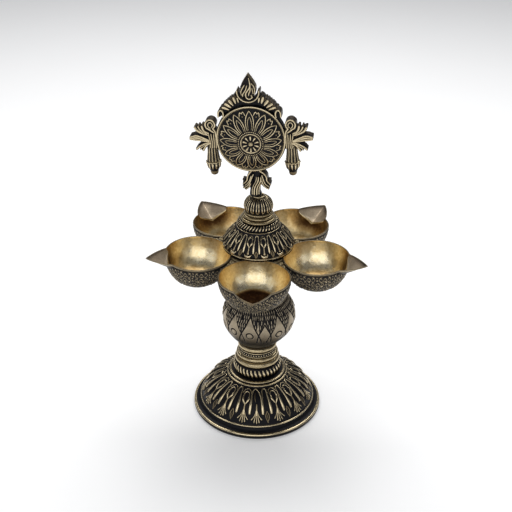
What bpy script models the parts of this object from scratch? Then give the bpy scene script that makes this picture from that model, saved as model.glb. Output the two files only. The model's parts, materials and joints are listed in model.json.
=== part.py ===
"""Five-bowl brass standing oil lamp (samai) with a wheel finial.

The lamp comes apart on a bench: the finial unscrews from the knob, the petal skirt unscrews
from the centre rod, the ring of bowls lifts off the rod, and the stem unscrews from the foot.
All lengths below are millimetres and are turned into metres where a mesh is made.
Origin: under the middle of the lamp's footprint, on the surface that it stands on, +Z up.
The front bowl's spout points to -Y.
"""

import math

import bmesh
import bpy
from mathutils import Matrix, Vector

MM = 0.001

# Driving dimensions, millimetres.
FOOT_RADIUS = 55.8
BOWL_COUNT = 5
BOWL_CIRCLE = 51.8  # lamp axis to a bowl's centre
BOWL_RADIUS = 28.8  # at the back of a bowl
BOWL_PINCH = 3.4  # how much less the radius is towards the spout, where the wall is pinched
BOWL_DEPTH = 27.8
BOWL_WALL = 1.8
RIM_HEIGHT = 157.2
SPOUT_REACH = 41.0  # bowl centre to the spout's tip
SPOUT_HALF_ANGLE = math.radians(33.0)
SPOUT_DROP = 9.6  # how far below the rim the trough leaves the bowl
SPOUT_FULLNESS = (1.25, 0.9)  # powers that round the spout's edge towards its blunt tip
TROUGH_FULLNESS = 0.68  # power that rounds the trough's section: 1 is a plain V
SPOUT_LIFT = 0.8  # how far the tip stands above the rim
RIM_BAND = 2.2  # straight band at the top of a bowl
GAP = 0.3  # between touching pieces

# Screw threads: inch sizes in common use for brass lamps.
FOOT_STUD_RADIUS = 25.4 * 3 / 16
CENTRE_ROD_RADIUS = 25.4 * 5 / 32
FINIAL_STUD_RADIUS = 25.4 / 8
FOOT_PITCH = 25.4 / 16
ROD_PITCH = 25.4 / 18
FINIAL_PITCH = 25.4 / 20
THREAD_TURNS = 6

# Heights of the seats, millimetres above the table.
PLATFORM_TOP = 36.0
HUB_BOTTOM = 140.2
HUB_TOP = 156.6
SKIRT_BOTTOM = 158.0
KNOB_TOP = 202.0

# Wheel finial: it stands a little off the axis and leans, as the handmade lamp does.
DISC_RADIUS = 27.4
DISC_BOSS_DEPTH = 13.0  # the disc's middle plane to the top of the boss in its middle
FINIAL_HALF_DEPTH = 4.5
FINIAL_OFFSET = -5.8
FINIAL_HEIGHT = 252.47  # the disc's centre
FINIAL_YAW = math.radians(-4.8)
FINIAL_LEAN = math.radians(3.59)
TASSEL_OFFSET = 31.1
CRESCENT_HEIGHT = 38.7  # above the disc's centre
CRESCENT_RADIUS = 9.2
THIN_SIDE_TAPER = 0.8  # the rear faces on the finial's left side are smaller than the front ones

# The spouts reach further to the front than to the back, so the axis stands behind the origin.
AXIS_Y = (BOWL_CIRCLE + SPOUT_REACH) * (1 - math.cos(math.pi / BOWL_COUNT)) / 2


def clear_scene():
    for obj in list(bpy.data.objects):
        bpy.data.objects.remove(obj)


def brass(name, colour, roughness):
    made = bpy.data.materials.new(name)
    made.use_nodes = True
    shader = made.node_tree.nodes["Principled BSDF"]
    shader.inputs["Base Color"].default_value = (*colour, 1.0)
    shader.inputs["Metallic"].default_value = 1.0
    shader.inputs["Roughness"].default_value = roughness
    return made


def pivot(name, height, parent=None):
    """An empty on the lamp's axis, at a joint."""
    empty = bpy.data.objects.new(name, None)
    bpy.context.scene.collection.objects.link(empty)
    empty.parent = parent
    above = 0.0 if parent is None else parent["height"]
    empty.location = (0.0, AXIS_Y * MM if parent is None else 0.0, (height - above) * MM)
    empty["height"] = height
    return empty


def add_object(name, bm, metal, parent, matrix):
    """Makes an object of a bmesh. The matrix places it in millimetres from its parent."""
    bmesh.ops.recalc_face_normals(bm, faces=bm.faces)
    mesh = bpy.data.meshes.new(name)
    bm.to_mesh(mesh)
    bm.free()
    mesh.transform(Matrix.Scale(MM, 4))
    mesh.materials.append(metal)
    mesh.shade_smooth()
    mesh.set_sharp_from_angle(angle=math.radians(35.0))
    obj = bpy.data.objects.new(name, mesh)
    bpy.context.scene.collection.objects.link(obj)
    obj.parent = parent
    placed = matrix.copy()
    placed.translation = matrix.translation * MM
    obj.matrix_local = placed
    return obj


def spun(profile, steps):
    """A bmesh turned about Z from a closed outline of (radius, height) points."""
    bm = bmesh.new()
    corners = [bm.verts.new((r, 0.0, z)) for r, z in profile]
    edges = [bm.edges.new((a, b)) for a, b in zip(corners, corners[1:] + corners[:1])
             if a.co.x > 0 or b.co.x > 0]
    bmesh.ops.spin(bm, geom=corners + edges, cent=(0, 0, 0), axis=(0, 0, 1),
                   angle=math.tau, steps=steps, use_merge=True)
    bmesh.ops.remove_doubles(bm, verts=bm.verts, dist=1e-4)
    return bm


def turned(name, profile, metal, parent, steps=28):
    """A turned piece whose outline is given in heights above the table."""
    base = parent["height"]
    bm = spun([(r, z - base) for r, z in profile], steps)
    return add_object(name, bm, metal, parent, Matrix())


def bead(radius, height, half, depth, steps=3):
    """A half-round bead, from its top to its bottom: radius and height are its crest's."""
    angles = [math.pi / 2 - math.pi * i / steps for i in range(steps + 1)]
    return [(radius - depth * (1 - math.cos(a)), height + half * math.sin(a)) for a in angles]


def bow(start, end, rise, steps):
    """A curve from start to end that stands out by rise at its middle, to the left of its way."""
    (r0, z0), (r1, z1) = start, end
    length = math.hypot(r1 - r0, z1 - z0)
    out = (-(z1 - z0) / length, (r1 - r0) / length)
    points = []
    for i in range(steps + 1):
        t = i / steps
        lift = 4 * rise * t * (1 - t)
        points.append((r0 + (r1 - r0) * t + out[0] * lift, z0 + (z1 - z0) * t + out[1] * lift))
    return points


def smooth_loop(points, steps=2):
    """A closed Catmull-Rom curve through the points."""
    count = len(points)
    out = []
    for i in range(count):
        p0, p1, p2, p3 = (Vector(points[(i + k) % count]) for k in (-1, 0, 1, 2))
        for s in range(steps):
            t = s / steps
            out.append(0.5 * ((2 * p1) + (p2 - p0) * t + (2 * p0 - 5 * p1 + 4 * p2 - p3) * t * t
                              + (3 * p1 - p0 - 3 * p2 + p3) * t ** 3))
    return [(p.x, p.y) for p in out]


def arc(centre, radius, start, end, steps):
    """Points on a circle in degrees, from start to end."""
    angles = [math.radians(start + (end - start) * i / steps) for i in range(steps + 1)]
    return [(centre[0] + radius * math.cos(a), centre[1] + radius * math.sin(a)) for a in angles]


def plate(name, outline, half_depth, metal, parent, matrix, taper=1.0, anchor=(0.0, 0.0)):
    """An outline in the finial's face, (across, up), extruded to both sides of its middle.

    The rear face may taper towards an anchor point in the face.
    """
    bm = bmesh.new()
    face = bm.faces.new([bm.verts.new((x, -half_depth, z)) for x, z in outline])
    moved = bmesh.ops.extrude_face_region(bm, geom=[face])["geom"]
    verts = [v for v in moved if isinstance(v, bmesh.types.BMVert)]
    about = Matrix.Translation((-anchor[0], 0, -anchor[1]))
    bmesh.ops.scale(bm, verts=verts, vec=(taper, 1, taper), space=about)
    bmesh.ops.translate(bm, verts=verts, vec=(0, 2 * half_depth, 0))
    return add_object(name, bm, metal, parent, matrix)


def mirrored(outline, side):
    return [(side * x, z) for x, z in outline][::int(side)]


# Foot and stem.


def make_base_foot(metal, parent):
    bore = FOOT_STUD_RADIUS + GAP
    boss_bottom = PLATFORM_TOP - THREAD_TURNS * FOOT_PITCH - 2.5
    outline = [(bore, PLATFORM_TOP), (22.8, PLATFORM_TOP)]
    outline += bead(24.1, 35.1, 0.8, 0.8, 2)
    outline += bead(26.2, 33.1, 1.0, 1.0, 2)
    outline += bow((26.4, 31.4), (48.7, 9.4), 3.2, 4)
    outline += bead(50.0, 7.7, 1.0, 1.0, 2)
    outline += [(50.6, 5.2), (54.0, 4.4)]
    outline += [(55.4, 3.6), (FOOT_RADIUS, 1.8), (55.0, 0.0), (50.4, 0.0), (48.6, 3.8)]
    outline += bow((44.6, 9.6), (25.6, 28.2), -2.6, 2)
    outline += [(11.6, 31.0), (10.2, boss_bottom), (bore, boss_bottom)]
    return turned("base_foot", outline, metal, parent, 44)


def make_lower_rope_ring(metal, parent):
    outline = [(FOOT_STUD_RADIUS + GAP, 45.2), (18.6, 45.2)]
    outline += bead(20.0, 40.8, 4.0, 1.6, 4)
    outline += [(18.6, PLATFORM_TOP + GAP), (FOOT_STUD_RADIUS + GAP, PLATFORM_TOP + GAP)]
    return turned("lower_rope_ring", outline, metal, parent)


def make_stem_collar(metal, parent):
    bore = FOOT_STUD_RADIUS + GAP
    outline = [(bore, 55.1), (16.6, 55.1)]
    outline += bead(18.1, 53.4, 1.5, 1.5)
    outline += [(16.9, 51.6)]
    outline += bead(19.4, 48.5, 2.7, 2.4)
    outline += [(16.8, 45.5), (bore, 45.5)]
    return turned("stem_collar", outline, metal, parent)


def make_bead_band(metal, parent):
    bore = FOOT_STUD_RADIUS + GAP
    outline = [(bore, 59.9), (15.9, 59.9)]
    outline += bead(16.5, 57.7, 1.6, 0.8, 2)
    outline += [(16.2, 55.4), (bore, 55.4)]
    return turned("bead_band", outline, metal, parent)


def make_bulb_seat_ring(metal, parent):
    bore = FOOT_STUD_RADIUS + GAP
    outline = [(bore, 64.6), (14.6, 64.6)]
    outline += bead(16.7, 62.4, 2.0, 1.8)
    outline += [(15.0, 60.2), (bore, 60.2)]
    return turned("bulb_seat_ring", outline, metal, parent)


def make_stem_bulb(metal, parent):
    bore = FOOT_STUD_RADIUS + GAP
    outline = [(CENTRE_ROD_RADIUS + GAP, 114.9), (13.2, 114.9), (18.2, 112.6), (23.2, 108.8)]
    outline += [(27.2, 103.6), (29.8, 97.6), (31.3, 90.4), (30.5, 85.2), (28.4, 79.8)]
    outline += [(25.2, 74.6), (21.2, 70.2), (17.4, 66.9), (14.4, 64.9)]
    outline += [(bore, 64.9), (bore, 76.0), (0.0, 76.0), (0.0, 99.0)]
    outline += [(CENTRE_ROD_RADIUS + GAP, 99.0)]
    return turned("stem_bulb", outline, metal, parent, 36)


def make_stem_neck(metal, parent):
    bore = CENTRE_ROD_RADIUS + GAP
    outline = [(bore, HUB_BOTTOM - GAP), (19.4, HUB_BOTTOM - GAP), (18.8, 137.8)]
    outline += bow((16.4, 136.4), (10.4, 124.0), -1.6, 3)
    outline += bead(14.0, 118.4, 2.2, 2.2)
    outline += [(12.6, 115.2), (bore, 115.2)]
    return turned("stem_neck", outline, metal, parent, 24)


def make_pin(name, radius, low, high, metal, parent):
    """A screw stud or rod with chamfered ends. Its thread is a plain running clearance."""
    chamfer = 0.6
    outline = [(0.0, high), (radius - chamfer, high), (radius, high - chamfer)]
    outline += [(radius, low + chamfer), (radius - chamfer, low), (0.0, low)]
    return turned(name, outline, metal, parent, 16)


# Bowls and their hub.


def pinched_radius(angle):
    """A bowl's radius in a direction: it narrows towards the spout at 0."""
    return BOWL_RADIUS - BOWL_PINCH * ((1 + math.cos(angle)) / 2) ** 3


def spout_outline(angle, radius, reach):
    """The distance to the spout's edge in a direction, or 0 outside the spout."""
    angle = abs(angle)
    if angle >= SPOUT_HALF_ANGLE:
        return 0.0
    root_x = radius * math.cos(SPOUT_HALF_ANGLE)
    root_y = radius * math.sin(SPOUT_HALF_ANGLE)
    early, late = SPOUT_FULLNESS
    steps = 400
    for i in range(steps + 1):
        share = 1 - i / steps
        ahead = root_x + (reach - root_x) * share
        across = root_y * (1 - share ** early) ** late
        if math.atan2(across, ahead) >= angle:
            return math.hypot(ahead, across)
    return radius


def bowl_section(angle, inset, steps):
    """(distance, height) points from the bowl's bottom to its rim. inset is 0 outside."""
    radius = pinched_radius(angle) - inset
    deep = BOWL_DEPTH - inset
    share = max(0.0, 1 - abs(angle) / SPOUT_HALF_ANGLE)
    drop = RIM_BAND + (SPOUT_DROP + inset - RIM_BAND) * share ** TROUGH_FULLNESS
    reach = SPOUT_REACH - 1.6 * inset
    end = math.acos(drop / deep)
    points = [(radius * math.sin(end * i / steps), -deep * math.cos(end * i / steps))
              for i in range(1, steps + 1)]
    root = pinched_radius(SPOUT_HALF_ANGLE) - inset
    distance = max(radius, spout_outline(angle, root, reach))
    return points + [(distance, SPOUT_LIFT * share)]


def bowl_mesh():
    """A bowl about its rim's centre, spout to +X."""
    wide, narrow, steps = 22, 6, 5
    around = [-SPOUT_HALF_ANGLE + 2 * SPOUT_HALF_ANGLE * i / narrow for i in range(narrow)]
    rest = math.tau - 2 * SPOUT_HALF_ANGLE
    around += [SPOUT_HALF_ANGLE + rest * i / wide for i in range(wide)]
    bm = bmesh.new()
    rows = []
    for turn in around:
        angle = math.remainder(turn, math.tau)
        outside = bowl_section(angle, 0.0, steps)
        inside = bowl_section(angle, BOWL_WALL, steps)
        section = outside + inside[::-1]
        rows.append([bm.verts.new((d * math.cos(turn), d * math.sin(turn), z))
                     for d, z in section])
    bottom = bm.verts.new((0, 0, -BOWL_DEPTH))
    floor = bm.verts.new((0, 0, -BOWL_DEPTH + BOWL_WALL))
    for a, b in zip(rows, rows[1:] + rows[:1]):
        bm.faces.new((bottom, b[0], a[0]))
        bm.faces.new((floor, a[-1], b[-1]))
        for i in range(len(a) - 1):
            bm.faces.new((a[i], b[i], b[i + 1], a[i + 1]))
    return bm


def bowl_places():
    """Each bowl's name and its direction from the axis, the front one first."""
    names = ("bowl_front", "bowl_right", "bowl_rear_right", "bowl_rear_left", "bowl_left")
    return [(name, -math.pi / 2 + math.tau * i / BOWL_COUNT) for i, name in enumerate(names)]


def make_bowls(metal, parent):
    for name, turn in bowl_places():
        place = Matrix.Rotation(turn, 4, "Z") @ Matrix.Translation((BOWL_CIRCLE, 0, 0))
        place.translation.z = RIM_HEIGHT - parent["height"]
        add_object(name, bowl_mesh(), metal, parent, place)


def make_bowl_hub(metal, parent):
    """A dished disc with a round seat cut for each bowl."""
    bore = CENTRE_ROD_RADIUS + GAP
    outline = [(bore, HUB_TOP), (28.4, HUB_TOP), (29.4, 155.4), (28.6, 152.0)]
    outline += [(24.6, 146.0), (19.6, HUB_BOTTOM), (bore, HUB_BOTTOM)]
    hub = turned("bowl_hub", outline, metal, parent, 30)
    for name, turn in bowl_places():
        bm = bmesh.new()
        bmesh.ops.create_uvsphere(bm, u_segments=24, v_segments=14, radius=BOWL_RADIUS + 0.5)
        squash = (BOWL_DEPTH + 0.5) / (BOWL_RADIUS + 0.5)
        bmesh.ops.scale(bm, verts=bm.verts, vec=(1, 1, squash))
        place = Matrix.Rotation(turn, 4, "Z") @ Matrix.Translation((BOWL_CIRCLE, 0, 0))
        place.translation.z = RIM_HEIGHT - parent["height"]
        cutter = add_object("seat_cutter_" + name, bm, metal, parent, place)
        cutter.hide_render = True
        cutter.display_type = "WIRE"
        seat = hub.modifiers.new("seat_" + name, "BOOLEAN")
        seat.operation = "DIFFERENCE"
        seat.solver = "EXACT"
        seat.object = cutter
    return hub


def make_clamp_washer(metal, parent):
    bore = CENTRE_ROD_RADIUS + GAP
    low, high = HUB_TOP + GAP, SKIRT_BOTTOM - GAP
    outline = [(bore, high), (11.0, high), (11.0, low), (bore, low)]
    return turned("clamp_washer", outline, metal, parent, 28)


# Skirt, rings and knob.


def make_skirt_dome(metal, parent):
    bore = CENTRE_ROD_RADIUS + GAP
    top = 177.4
    outline = [(bore, top), (17.2, top), (18.4, 176.8)]
    outline += bow((18.7, 175.9), (28.8, 162.0), 0.7, 4)
    outline += [(28.9, 160.4), (28.0, 158.8), (27.0, SKIRT_BOTTOM), (bore, SKIRT_BOTTOM)]
    return turned("skirt_dome", outline, metal, parent, 36)


def make_upper_rope_ring(metal, parent):
    outline = [(0.0, 182.1), (14.4, 182.1), (16.6, 180.2), (17.3, 178.6)]
    outline += [(16.8, 177.7), (0.0, 177.7)]
    return turned("upper_rope_ring", outline, metal, parent, 30)


def make_neck_rings(metal, parent):
    rings = (("neck_ring_large", 14.2, 182.4, 185.0),
             ("neck_ring_middle", 12.6, 185.3, 187.7),
             ("neck_ring_small", 11.3, 188.0, 190.1))
    for name, radius, low, high in rings:
        half = (high - low) / 2
        outline = [(0.0, high)] + bead(radius, low + half, half, 1.2) + [(0.0, low)]
        turned(name, outline, metal, parent, 28)


def make_ribbed_knob(metal, parent):
    bore = FINIAL_STUD_RADIUS + GAP
    outline = [(bore, KNOB_TOP), (5.2, KNOB_TOP)]
    outline += [(8.2, 200.6), (10.4, 198.2), (11.5, 195.0), (11.3, 192.4), (10.2, 190.4)]
    outline += [(0.0, 190.4), (0.0, 192.0), (bore, 192.0)]
    return turned("ribbed_knob", outline, metal, parent, 28)


def make_finial_collar(metal, parent):
    low = KNOB_TOP + GAP
    outline = [(FINIAL_STUD_RADIUS + GAP, low + 1.2)]
    outline += bead(5.2, low + 0.6, 0.6, 0.6, 2)
    outline += [(FINIAL_STUD_RADIUS + GAP, low)]
    return turned("finial_collar", outline, metal, parent, 20)


# Finial.


def finial_matrix(parent):
    """Places the disc's centre and turns (across, depth, up) into the leaning finial's frame."""
    turn = Matrix.Rotation(FINIAL_YAW, 4, "Z") @ Matrix.Rotation(-FINIAL_LEAN, 4, "Y")
    return Matrix.Translation((FINIAL_OFFSET, 0, FINIAL_HEIGHT - parent["height"])) @ turn


def make_finial_neck(metal, parent, place):
    """The scrolled neck: a waisted stem with a curl drooping at each side."""
    right = [(5.7, -48.4), (5.0, -46.4), (4.0, -44.0), (4.0, -41.0), (5.4, -38.4)]
    right += [(7.6, -41.4), (10.4, -43.4), (12.3, -43.0), (12.2, -41.2), (13.6, -39.4)]
    right += [(12.8, -37.0), (10.6, -35.0), (9.6, -31.6), (8.4, -29.0), (5.6, -27.9)]
    left = [(-2.2, -27.9), (-4.2, -29.4), (-5.4, -32.0), (-6.8, -34.2), (-8.9, -35.6)]
    left += [(-9.2, -38.0), (-8.2, -39.8), (-9.0, -41.6), (-7.6, -43.8), (-5.6, -42.6)]
    left += [(-3.6, -40.0), (-3.4, -43.2), (-3.9, -46.2), (-4.2, -48.4)]
    plate("finial_neck", right + left, 4.2, metal, parent, place)


def make_chakra_disc(metal, parent, place):
    """A lens: both faces rise from a flat rim to a boss."""
    half = FINIAL_HALF_DEPTH
    outline = [(0.0, DISC_BOSS_DEPTH), (1.6, DISC_BOSS_DEPTH - 0.4), (2.4, 11.4), (7.4, 11.2)]
    outline += [(9.8, 11.0)] + bow((10.8, 10.4), (24.4, 4.2), 0.9, 3)
    outline += [(25.6, half), (26.7, half), (DISC_RADIUS, half - 1.0)]
    outline += [(r, -z) for r, z in outline[::-1]]
    disc = spun(outline, 36)
    upright = place @ Matrix.Rotation(math.pi / 2, 4, "X")
    add_object("chakra_disc", disc, metal, parent, upright)


def make_crown(metal, parent, place):
    centre = (0.0, CRESCENT_HEIGHT)
    flame = [(0.0, 52.0), (2.2, 48.9), (4.4, 45.6), (6.0, 42.2), (6.2, 38.4), (4.3, 34.4)]
    flame += [(0.0, 32.6)] + [(-x, z) for x, z in reversed(flame[1:])]
    plate("crown_flame", flame, 3.4, metal, parent, place)
    cup = arc(centre, CRESCENT_RADIUS, 2, -182, 14)
    cup += arc((0.0, CRESCENT_HEIGHT + 0.6), CRESCENT_RADIUS - 1.9, -179, -1, 10)
    plate("crown_crescent", cup, FINIAL_HALF_DEPTH, metal, parent, place)
    crest = [(24.8, 18.6), (24.8, 21.4), (23.2, 22.6), (22.6, 25.0), (20.2, 26.2)]
    crest += [(19.4, 28.6), (16.6, 29.6), (15.8, 32.0), (13.0, 33.0), (12.0, 35.4), (10.2, 36.4)]
    inner = arc(centre, CRESCENT_RADIUS + GAP, -10, -86, 6)
    under = arc((0, 0), DISC_RADIUS + 2 * GAP, 89, 41, 9)
    curl = [(22.5, 18.1), (23.6, 17.1), (24.5, 17.4)]
    for name, side in (("crown_leaves_right", 1.0), ("crown_leaves_left", -1.0)):
        outline = mirrored(crest + inner + under + curl, side)
        taper = 1.0 if side > 0 else THIN_SIDE_TAPER
        plate(name, outline, FINIAL_HALF_DEPTH, metal, parent, place, taper, (-6.0, 29.0))


def make_side_flames(metal, parent, place):
    """A loop beside the disc with tongues that lick up, out and down."""
    loop = [(28.0, -6.6), (28.1, -2.0), (27.9, 2.4), (27.0, 7.2), (26.3, 11.6), (27.5, 14.8)]
    loop += [(30.8, 16.2), (34.4, 14.6), (35.9, 11.0)]
    upper = [(36.9, 11.5), (38.3, 11.8), (38.9, 9.6), (40.4, 8.8), (42.4, 11.4), (44.2, 10.8)]
    upper += [(43.4, 7.6), (40.8, 4.9)]
    petal = [(44.4, 4.4), (47.4, 3.4), (48.8, 0.9), (46.8, -1.8), (42.4, -2.4), (38.8, -3.2)]
    lower = [(41.4, -5.0), (44.2, -8.0), (44.0, -9.6), (42.0, -9.2), (39.8, -7.0)]
    lower += [(40.0, -9.8), (38.6, -10.8), (36.8, -9.6), (35.6, -7.4)]
    outline = smooth_loop(loop + upper + petal + lower)
    for name, side in (("side_flame_right", 1.0), ("side_flame_left", -1.0)):
        taper = 1.0 if side > 0 else THIN_SIDE_TAPER
        anchor = (side * 28.0, -6.6)
        plate(name, mirrored(outline, side), FINIAL_HALF_DEPTH, metal, parent, place, taper, anchor)


def make_tassels(metal, parent, place):
    outline = [(0.0, -7.9), (4.2, -7.9), (4.4, -12.5), (5.0, -18.4)]
    outline += bead(5.9, -19.8, 0.9, 0.8)
    outline += [(5.5, -22.2), (4.9, -25.0), (3.6, -27.4), (3.3, -28.7), (2.2, -30.8), (0.0, -31.8)]
    for name, side in (("tassel_right", 1.0), ("tassel_left", -1.0)):
        moved = place @ Matrix.Translation((side * TASSEL_OFFSET, 0, 0))
        add_object(name, spun(outline, 16), metal, parent, moved)


def main():
    clear_scene()
    antique = brass("antique_brass", (0.20, 0.16, 0.10), 0.42)
    bowl_metal = brass("bowl_brass", (0.62, 0.50, 0.28), 0.30)
    turned_metal = brass("turned_brass", (0.42, 0.34, 0.20), 0.34)

    foot = pivot("foot_frame", 0.0)
    seat = pivot("seat_ring_pivot", PLATFORM_TOP, foot)
    stem = pivot("stem_frame", PLATFORM_TOP + 9.5, seat)
    ring = pivot("bowl_ring_pivot", HUB_BOTTOM, stem)
    clamp = pivot("clamp_washer_pivot", HUB_TOP, stem)
    top = pivot("top_frame", SKIRT_BOTTOM, clamp)
    collar = pivot("finial_collar_pivot", KNOB_TOP, top)
    finial = pivot("finial_frame", KNOB_TOP + 2.0, collar)

    make_base_foot(antique, foot)
    make_lower_rope_ring(antique, seat)
    make_stem_collar(turned_metal, stem)
    make_bead_band(antique, stem)
    make_bulb_seat_ring(turned_metal, stem)
    make_stem_bulb(antique, stem)
    make_stem_neck(turned_metal, stem)
    stud_low = PLATFORM_TOP - THREAD_TURNS * FOOT_PITCH
    make_pin("foot_stud", FOOT_STUD_RADIUS, stud_low, 75.0, turned_metal, stem)
    rod_high = SKIRT_BOTTOM + THREAD_TURNS * ROD_PITCH
    make_pin("centre_rod", CENTRE_ROD_RADIUS, 100.0, rod_high, turned_metal, stem)
    make_bowls(bowl_metal, ring)
    make_bowl_hub(turned_metal, ring)
    make_clamp_washer(turned_metal, clamp)
    make_skirt_dome(antique, top)
    make_upper_rope_ring(antique, top)
    make_neck_rings(turned_metal, top)
    make_ribbed_knob(antique, top)
    make_finial_collar(turned_metal, collar)
    stud_end = KNOB_TOP - THREAD_TURNS * FINIAL_PITCH
    make_pin("finial_stud", FINIAL_STUD_RADIUS, stud_end, KNOB_TOP + 1.5, turned_metal, finial)

    place = finial_matrix(finial)
    make_finial_neck(antique, finial, place)
    make_chakra_disc(antique, finial, place)
    make_crown(antique, finial, place)
    make_side_flames(antique, finial, place)
    make_tassels(antique, finial, place)


main()
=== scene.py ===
import json
import math

import bpy
import numpy as np
from mathutils import Matrix, Vector


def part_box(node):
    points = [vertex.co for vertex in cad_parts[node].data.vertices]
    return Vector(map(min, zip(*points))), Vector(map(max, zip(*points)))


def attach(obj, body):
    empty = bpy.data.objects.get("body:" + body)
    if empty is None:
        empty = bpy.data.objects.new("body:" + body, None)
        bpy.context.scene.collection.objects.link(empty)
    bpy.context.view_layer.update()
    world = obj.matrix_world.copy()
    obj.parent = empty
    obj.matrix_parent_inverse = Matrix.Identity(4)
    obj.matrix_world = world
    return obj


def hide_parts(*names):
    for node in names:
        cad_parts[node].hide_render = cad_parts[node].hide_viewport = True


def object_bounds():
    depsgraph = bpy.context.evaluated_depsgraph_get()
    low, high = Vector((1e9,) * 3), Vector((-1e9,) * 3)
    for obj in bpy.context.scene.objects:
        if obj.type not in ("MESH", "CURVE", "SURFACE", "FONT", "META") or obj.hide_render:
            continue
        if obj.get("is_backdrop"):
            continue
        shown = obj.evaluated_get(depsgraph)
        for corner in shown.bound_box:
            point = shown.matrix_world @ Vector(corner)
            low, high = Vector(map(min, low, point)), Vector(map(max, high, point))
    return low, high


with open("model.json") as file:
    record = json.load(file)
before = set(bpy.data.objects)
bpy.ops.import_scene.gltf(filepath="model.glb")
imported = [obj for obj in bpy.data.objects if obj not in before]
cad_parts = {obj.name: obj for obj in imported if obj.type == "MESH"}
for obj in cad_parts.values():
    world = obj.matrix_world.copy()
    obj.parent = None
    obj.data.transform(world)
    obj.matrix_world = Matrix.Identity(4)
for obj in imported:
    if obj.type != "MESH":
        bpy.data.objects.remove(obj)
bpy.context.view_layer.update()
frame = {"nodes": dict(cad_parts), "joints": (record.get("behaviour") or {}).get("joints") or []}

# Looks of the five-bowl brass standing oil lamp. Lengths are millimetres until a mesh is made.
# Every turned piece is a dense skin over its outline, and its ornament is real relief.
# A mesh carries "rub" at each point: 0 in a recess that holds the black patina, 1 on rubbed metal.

MM = 0.001

# The frame's own sizes, as the CAD has them.
joint_places = {j["name"]: j for j in frame["joints"]}
AXIS_Y = joint_places["bowls_turn"]["pos_m"][1] / MM
BOWL_COUNT = 5
BOWL_CIRCLE = 51.8
BOWL_RADIUS = 28.8
BOWL_PINCH = 3.4
BOWL_DEPTH = 27.8
BOWL_WALL = 1.8
RIM_HEIGHT = 157.2
RIM_BAND = 2.2
SPOUT_REACH = 41.0
SPOUT_DROP = 9.6
SPOUT_LIFT = 0.8
FOOT_BORE = 5.0625
ROD_BORE = 4.26875
FINIAL_BORE = 3.475
FINIAL_YAW = math.radians(-4.8)
FINIAL_LEAN = math.radians(3.59)
FINIAL_HALF_DEPTH = 4.5
DISC_RADIUS = 27.4
TASSEL_OFFSET = 31.1
CRESCENT_HEIGHT = 38.7

FINE = 0.3  # step of a skin that carries relief
PLAIN = 0.45  # step of a plain turned skin
HIDDEN = 3.0  # step in bores and underneath
PAINTED_SHADE_RUB = 0.05  # rub there: a painted shade, dark as bores and undersides in shadow
VOXEL = 0.22  # grain of the cast finial pieces


# Materials.


def node(tree, kind, **values):
    made = tree.nodes.new("ShaderNode" + kind)
    for key, value in values.items():
        if key in made.inputs:
            made.inputs[key].default_value = value
        else:
            setattr(made, key, value)
    return made


def noise(tree, scale, detail=4.0, roughness=0.55):
    place = node(tree, "TexCoord")
    made = node(tree, "TexNoise", Scale=scale, Detail=detail, Roughness=roughness)
    tree.links.new(place.outputs["Object"], made.inputs["Vector"])
    return made.outputs["Fac"]


def maths(tree, operation, a, b, clamp=False):
    made = node(tree, "Math", operation=operation, use_clamp=clamp)
    for socket, value in zip(made.inputs, (a, b)):
        if isinstance(value, (int, float)):
            socket.default_value = value
        else:
            tree.links.new(value, socket)
    return made.outputs[0]


def ramp(tree, factor, stops):
    made = node(tree, "ValToRGB")
    tree.links.new(factor, made.inputs["Fac"])
    elements = made.color_ramp.elements
    while len(elements) < len(stops):
        elements.new(0.5)
    for element, (place, colour) in zip(elements, stops):
        element.position = place
        element.color = (*colour, 1.0)
    return made.outputs["Color"]


def remap(tree, factor, low, high):
    made = node(tree, "MapRange")
    made.inputs["To Min"].default_value = low
    made.inputs["To Max"].default_value = high
    tree.links.new(factor, made.inputs["Value"])
    return made.outputs["Result"]


def spread(tree, source, amount):
    """A noise about zero, amount wide."""
    return maths(tree, "MULTIPLY", maths(tree, "SUBTRACT", source, 0.5), amount)


def material(name):
    made = bpy.data.materials.new(name)
    made.use_nodes = True
    return made, made.node_tree, made.node_tree.nodes["Principled BSDF"]


def bump(tree, sources):
    """Chained bumps: (height socket, distance in metres)."""
    last = None
    for height, distance in sources:
        made = node(tree, "Bump", Strength=0.6, Distance=distance)
        tree.links.new(height, made.inputs["Height"])
        if last:
            tree.links.new(last, made.inputs["Normal"])
        last = made.outputs["Normal"]
    return last


def brass(name, stops, dull, bright, dark_metal=0.4, grain=0.00005, grain_scale=1100.0,
          mottle=0.22, stain=0.18):
    """Brass whose colour, metal share and roughness run from patina to rubbed metal."""
    made, tree, shader = material(name)
    rub = node(tree, "Attribute", attribute_name="rub").outputs["Fac"]
    fine = noise(tree, grain_scale)
    patch = noise(tree, 75.0, 5.0, 0.6)
    mottled = maths(tree, "ADD", rub, spread(tree, fine, mottle))
    factor = maths(tree, "ADD", mottled, spread(tree, patch, stain), clamp=True)
    tree.links.new(ramp(tree, factor, stops), shader.inputs["Base Color"])
    tree.links.new(remap(tree, factor, dark_metal, 1.0), shader.inputs["Metallic"])
    rough = maths(tree, "ADD", remap(tree, factor, dull, bright), spread(tree, patch, 0.2))
    tree.links.new(rough, shader.inputs["Roughness"])
    shader.inputs["Specular IOR Level"].default_value = 0.35
    tree.links.new(bump(tree, [(fine, grain), (patch, grain * 3)]), shader.inputs["Normal"])
    return made


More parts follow.
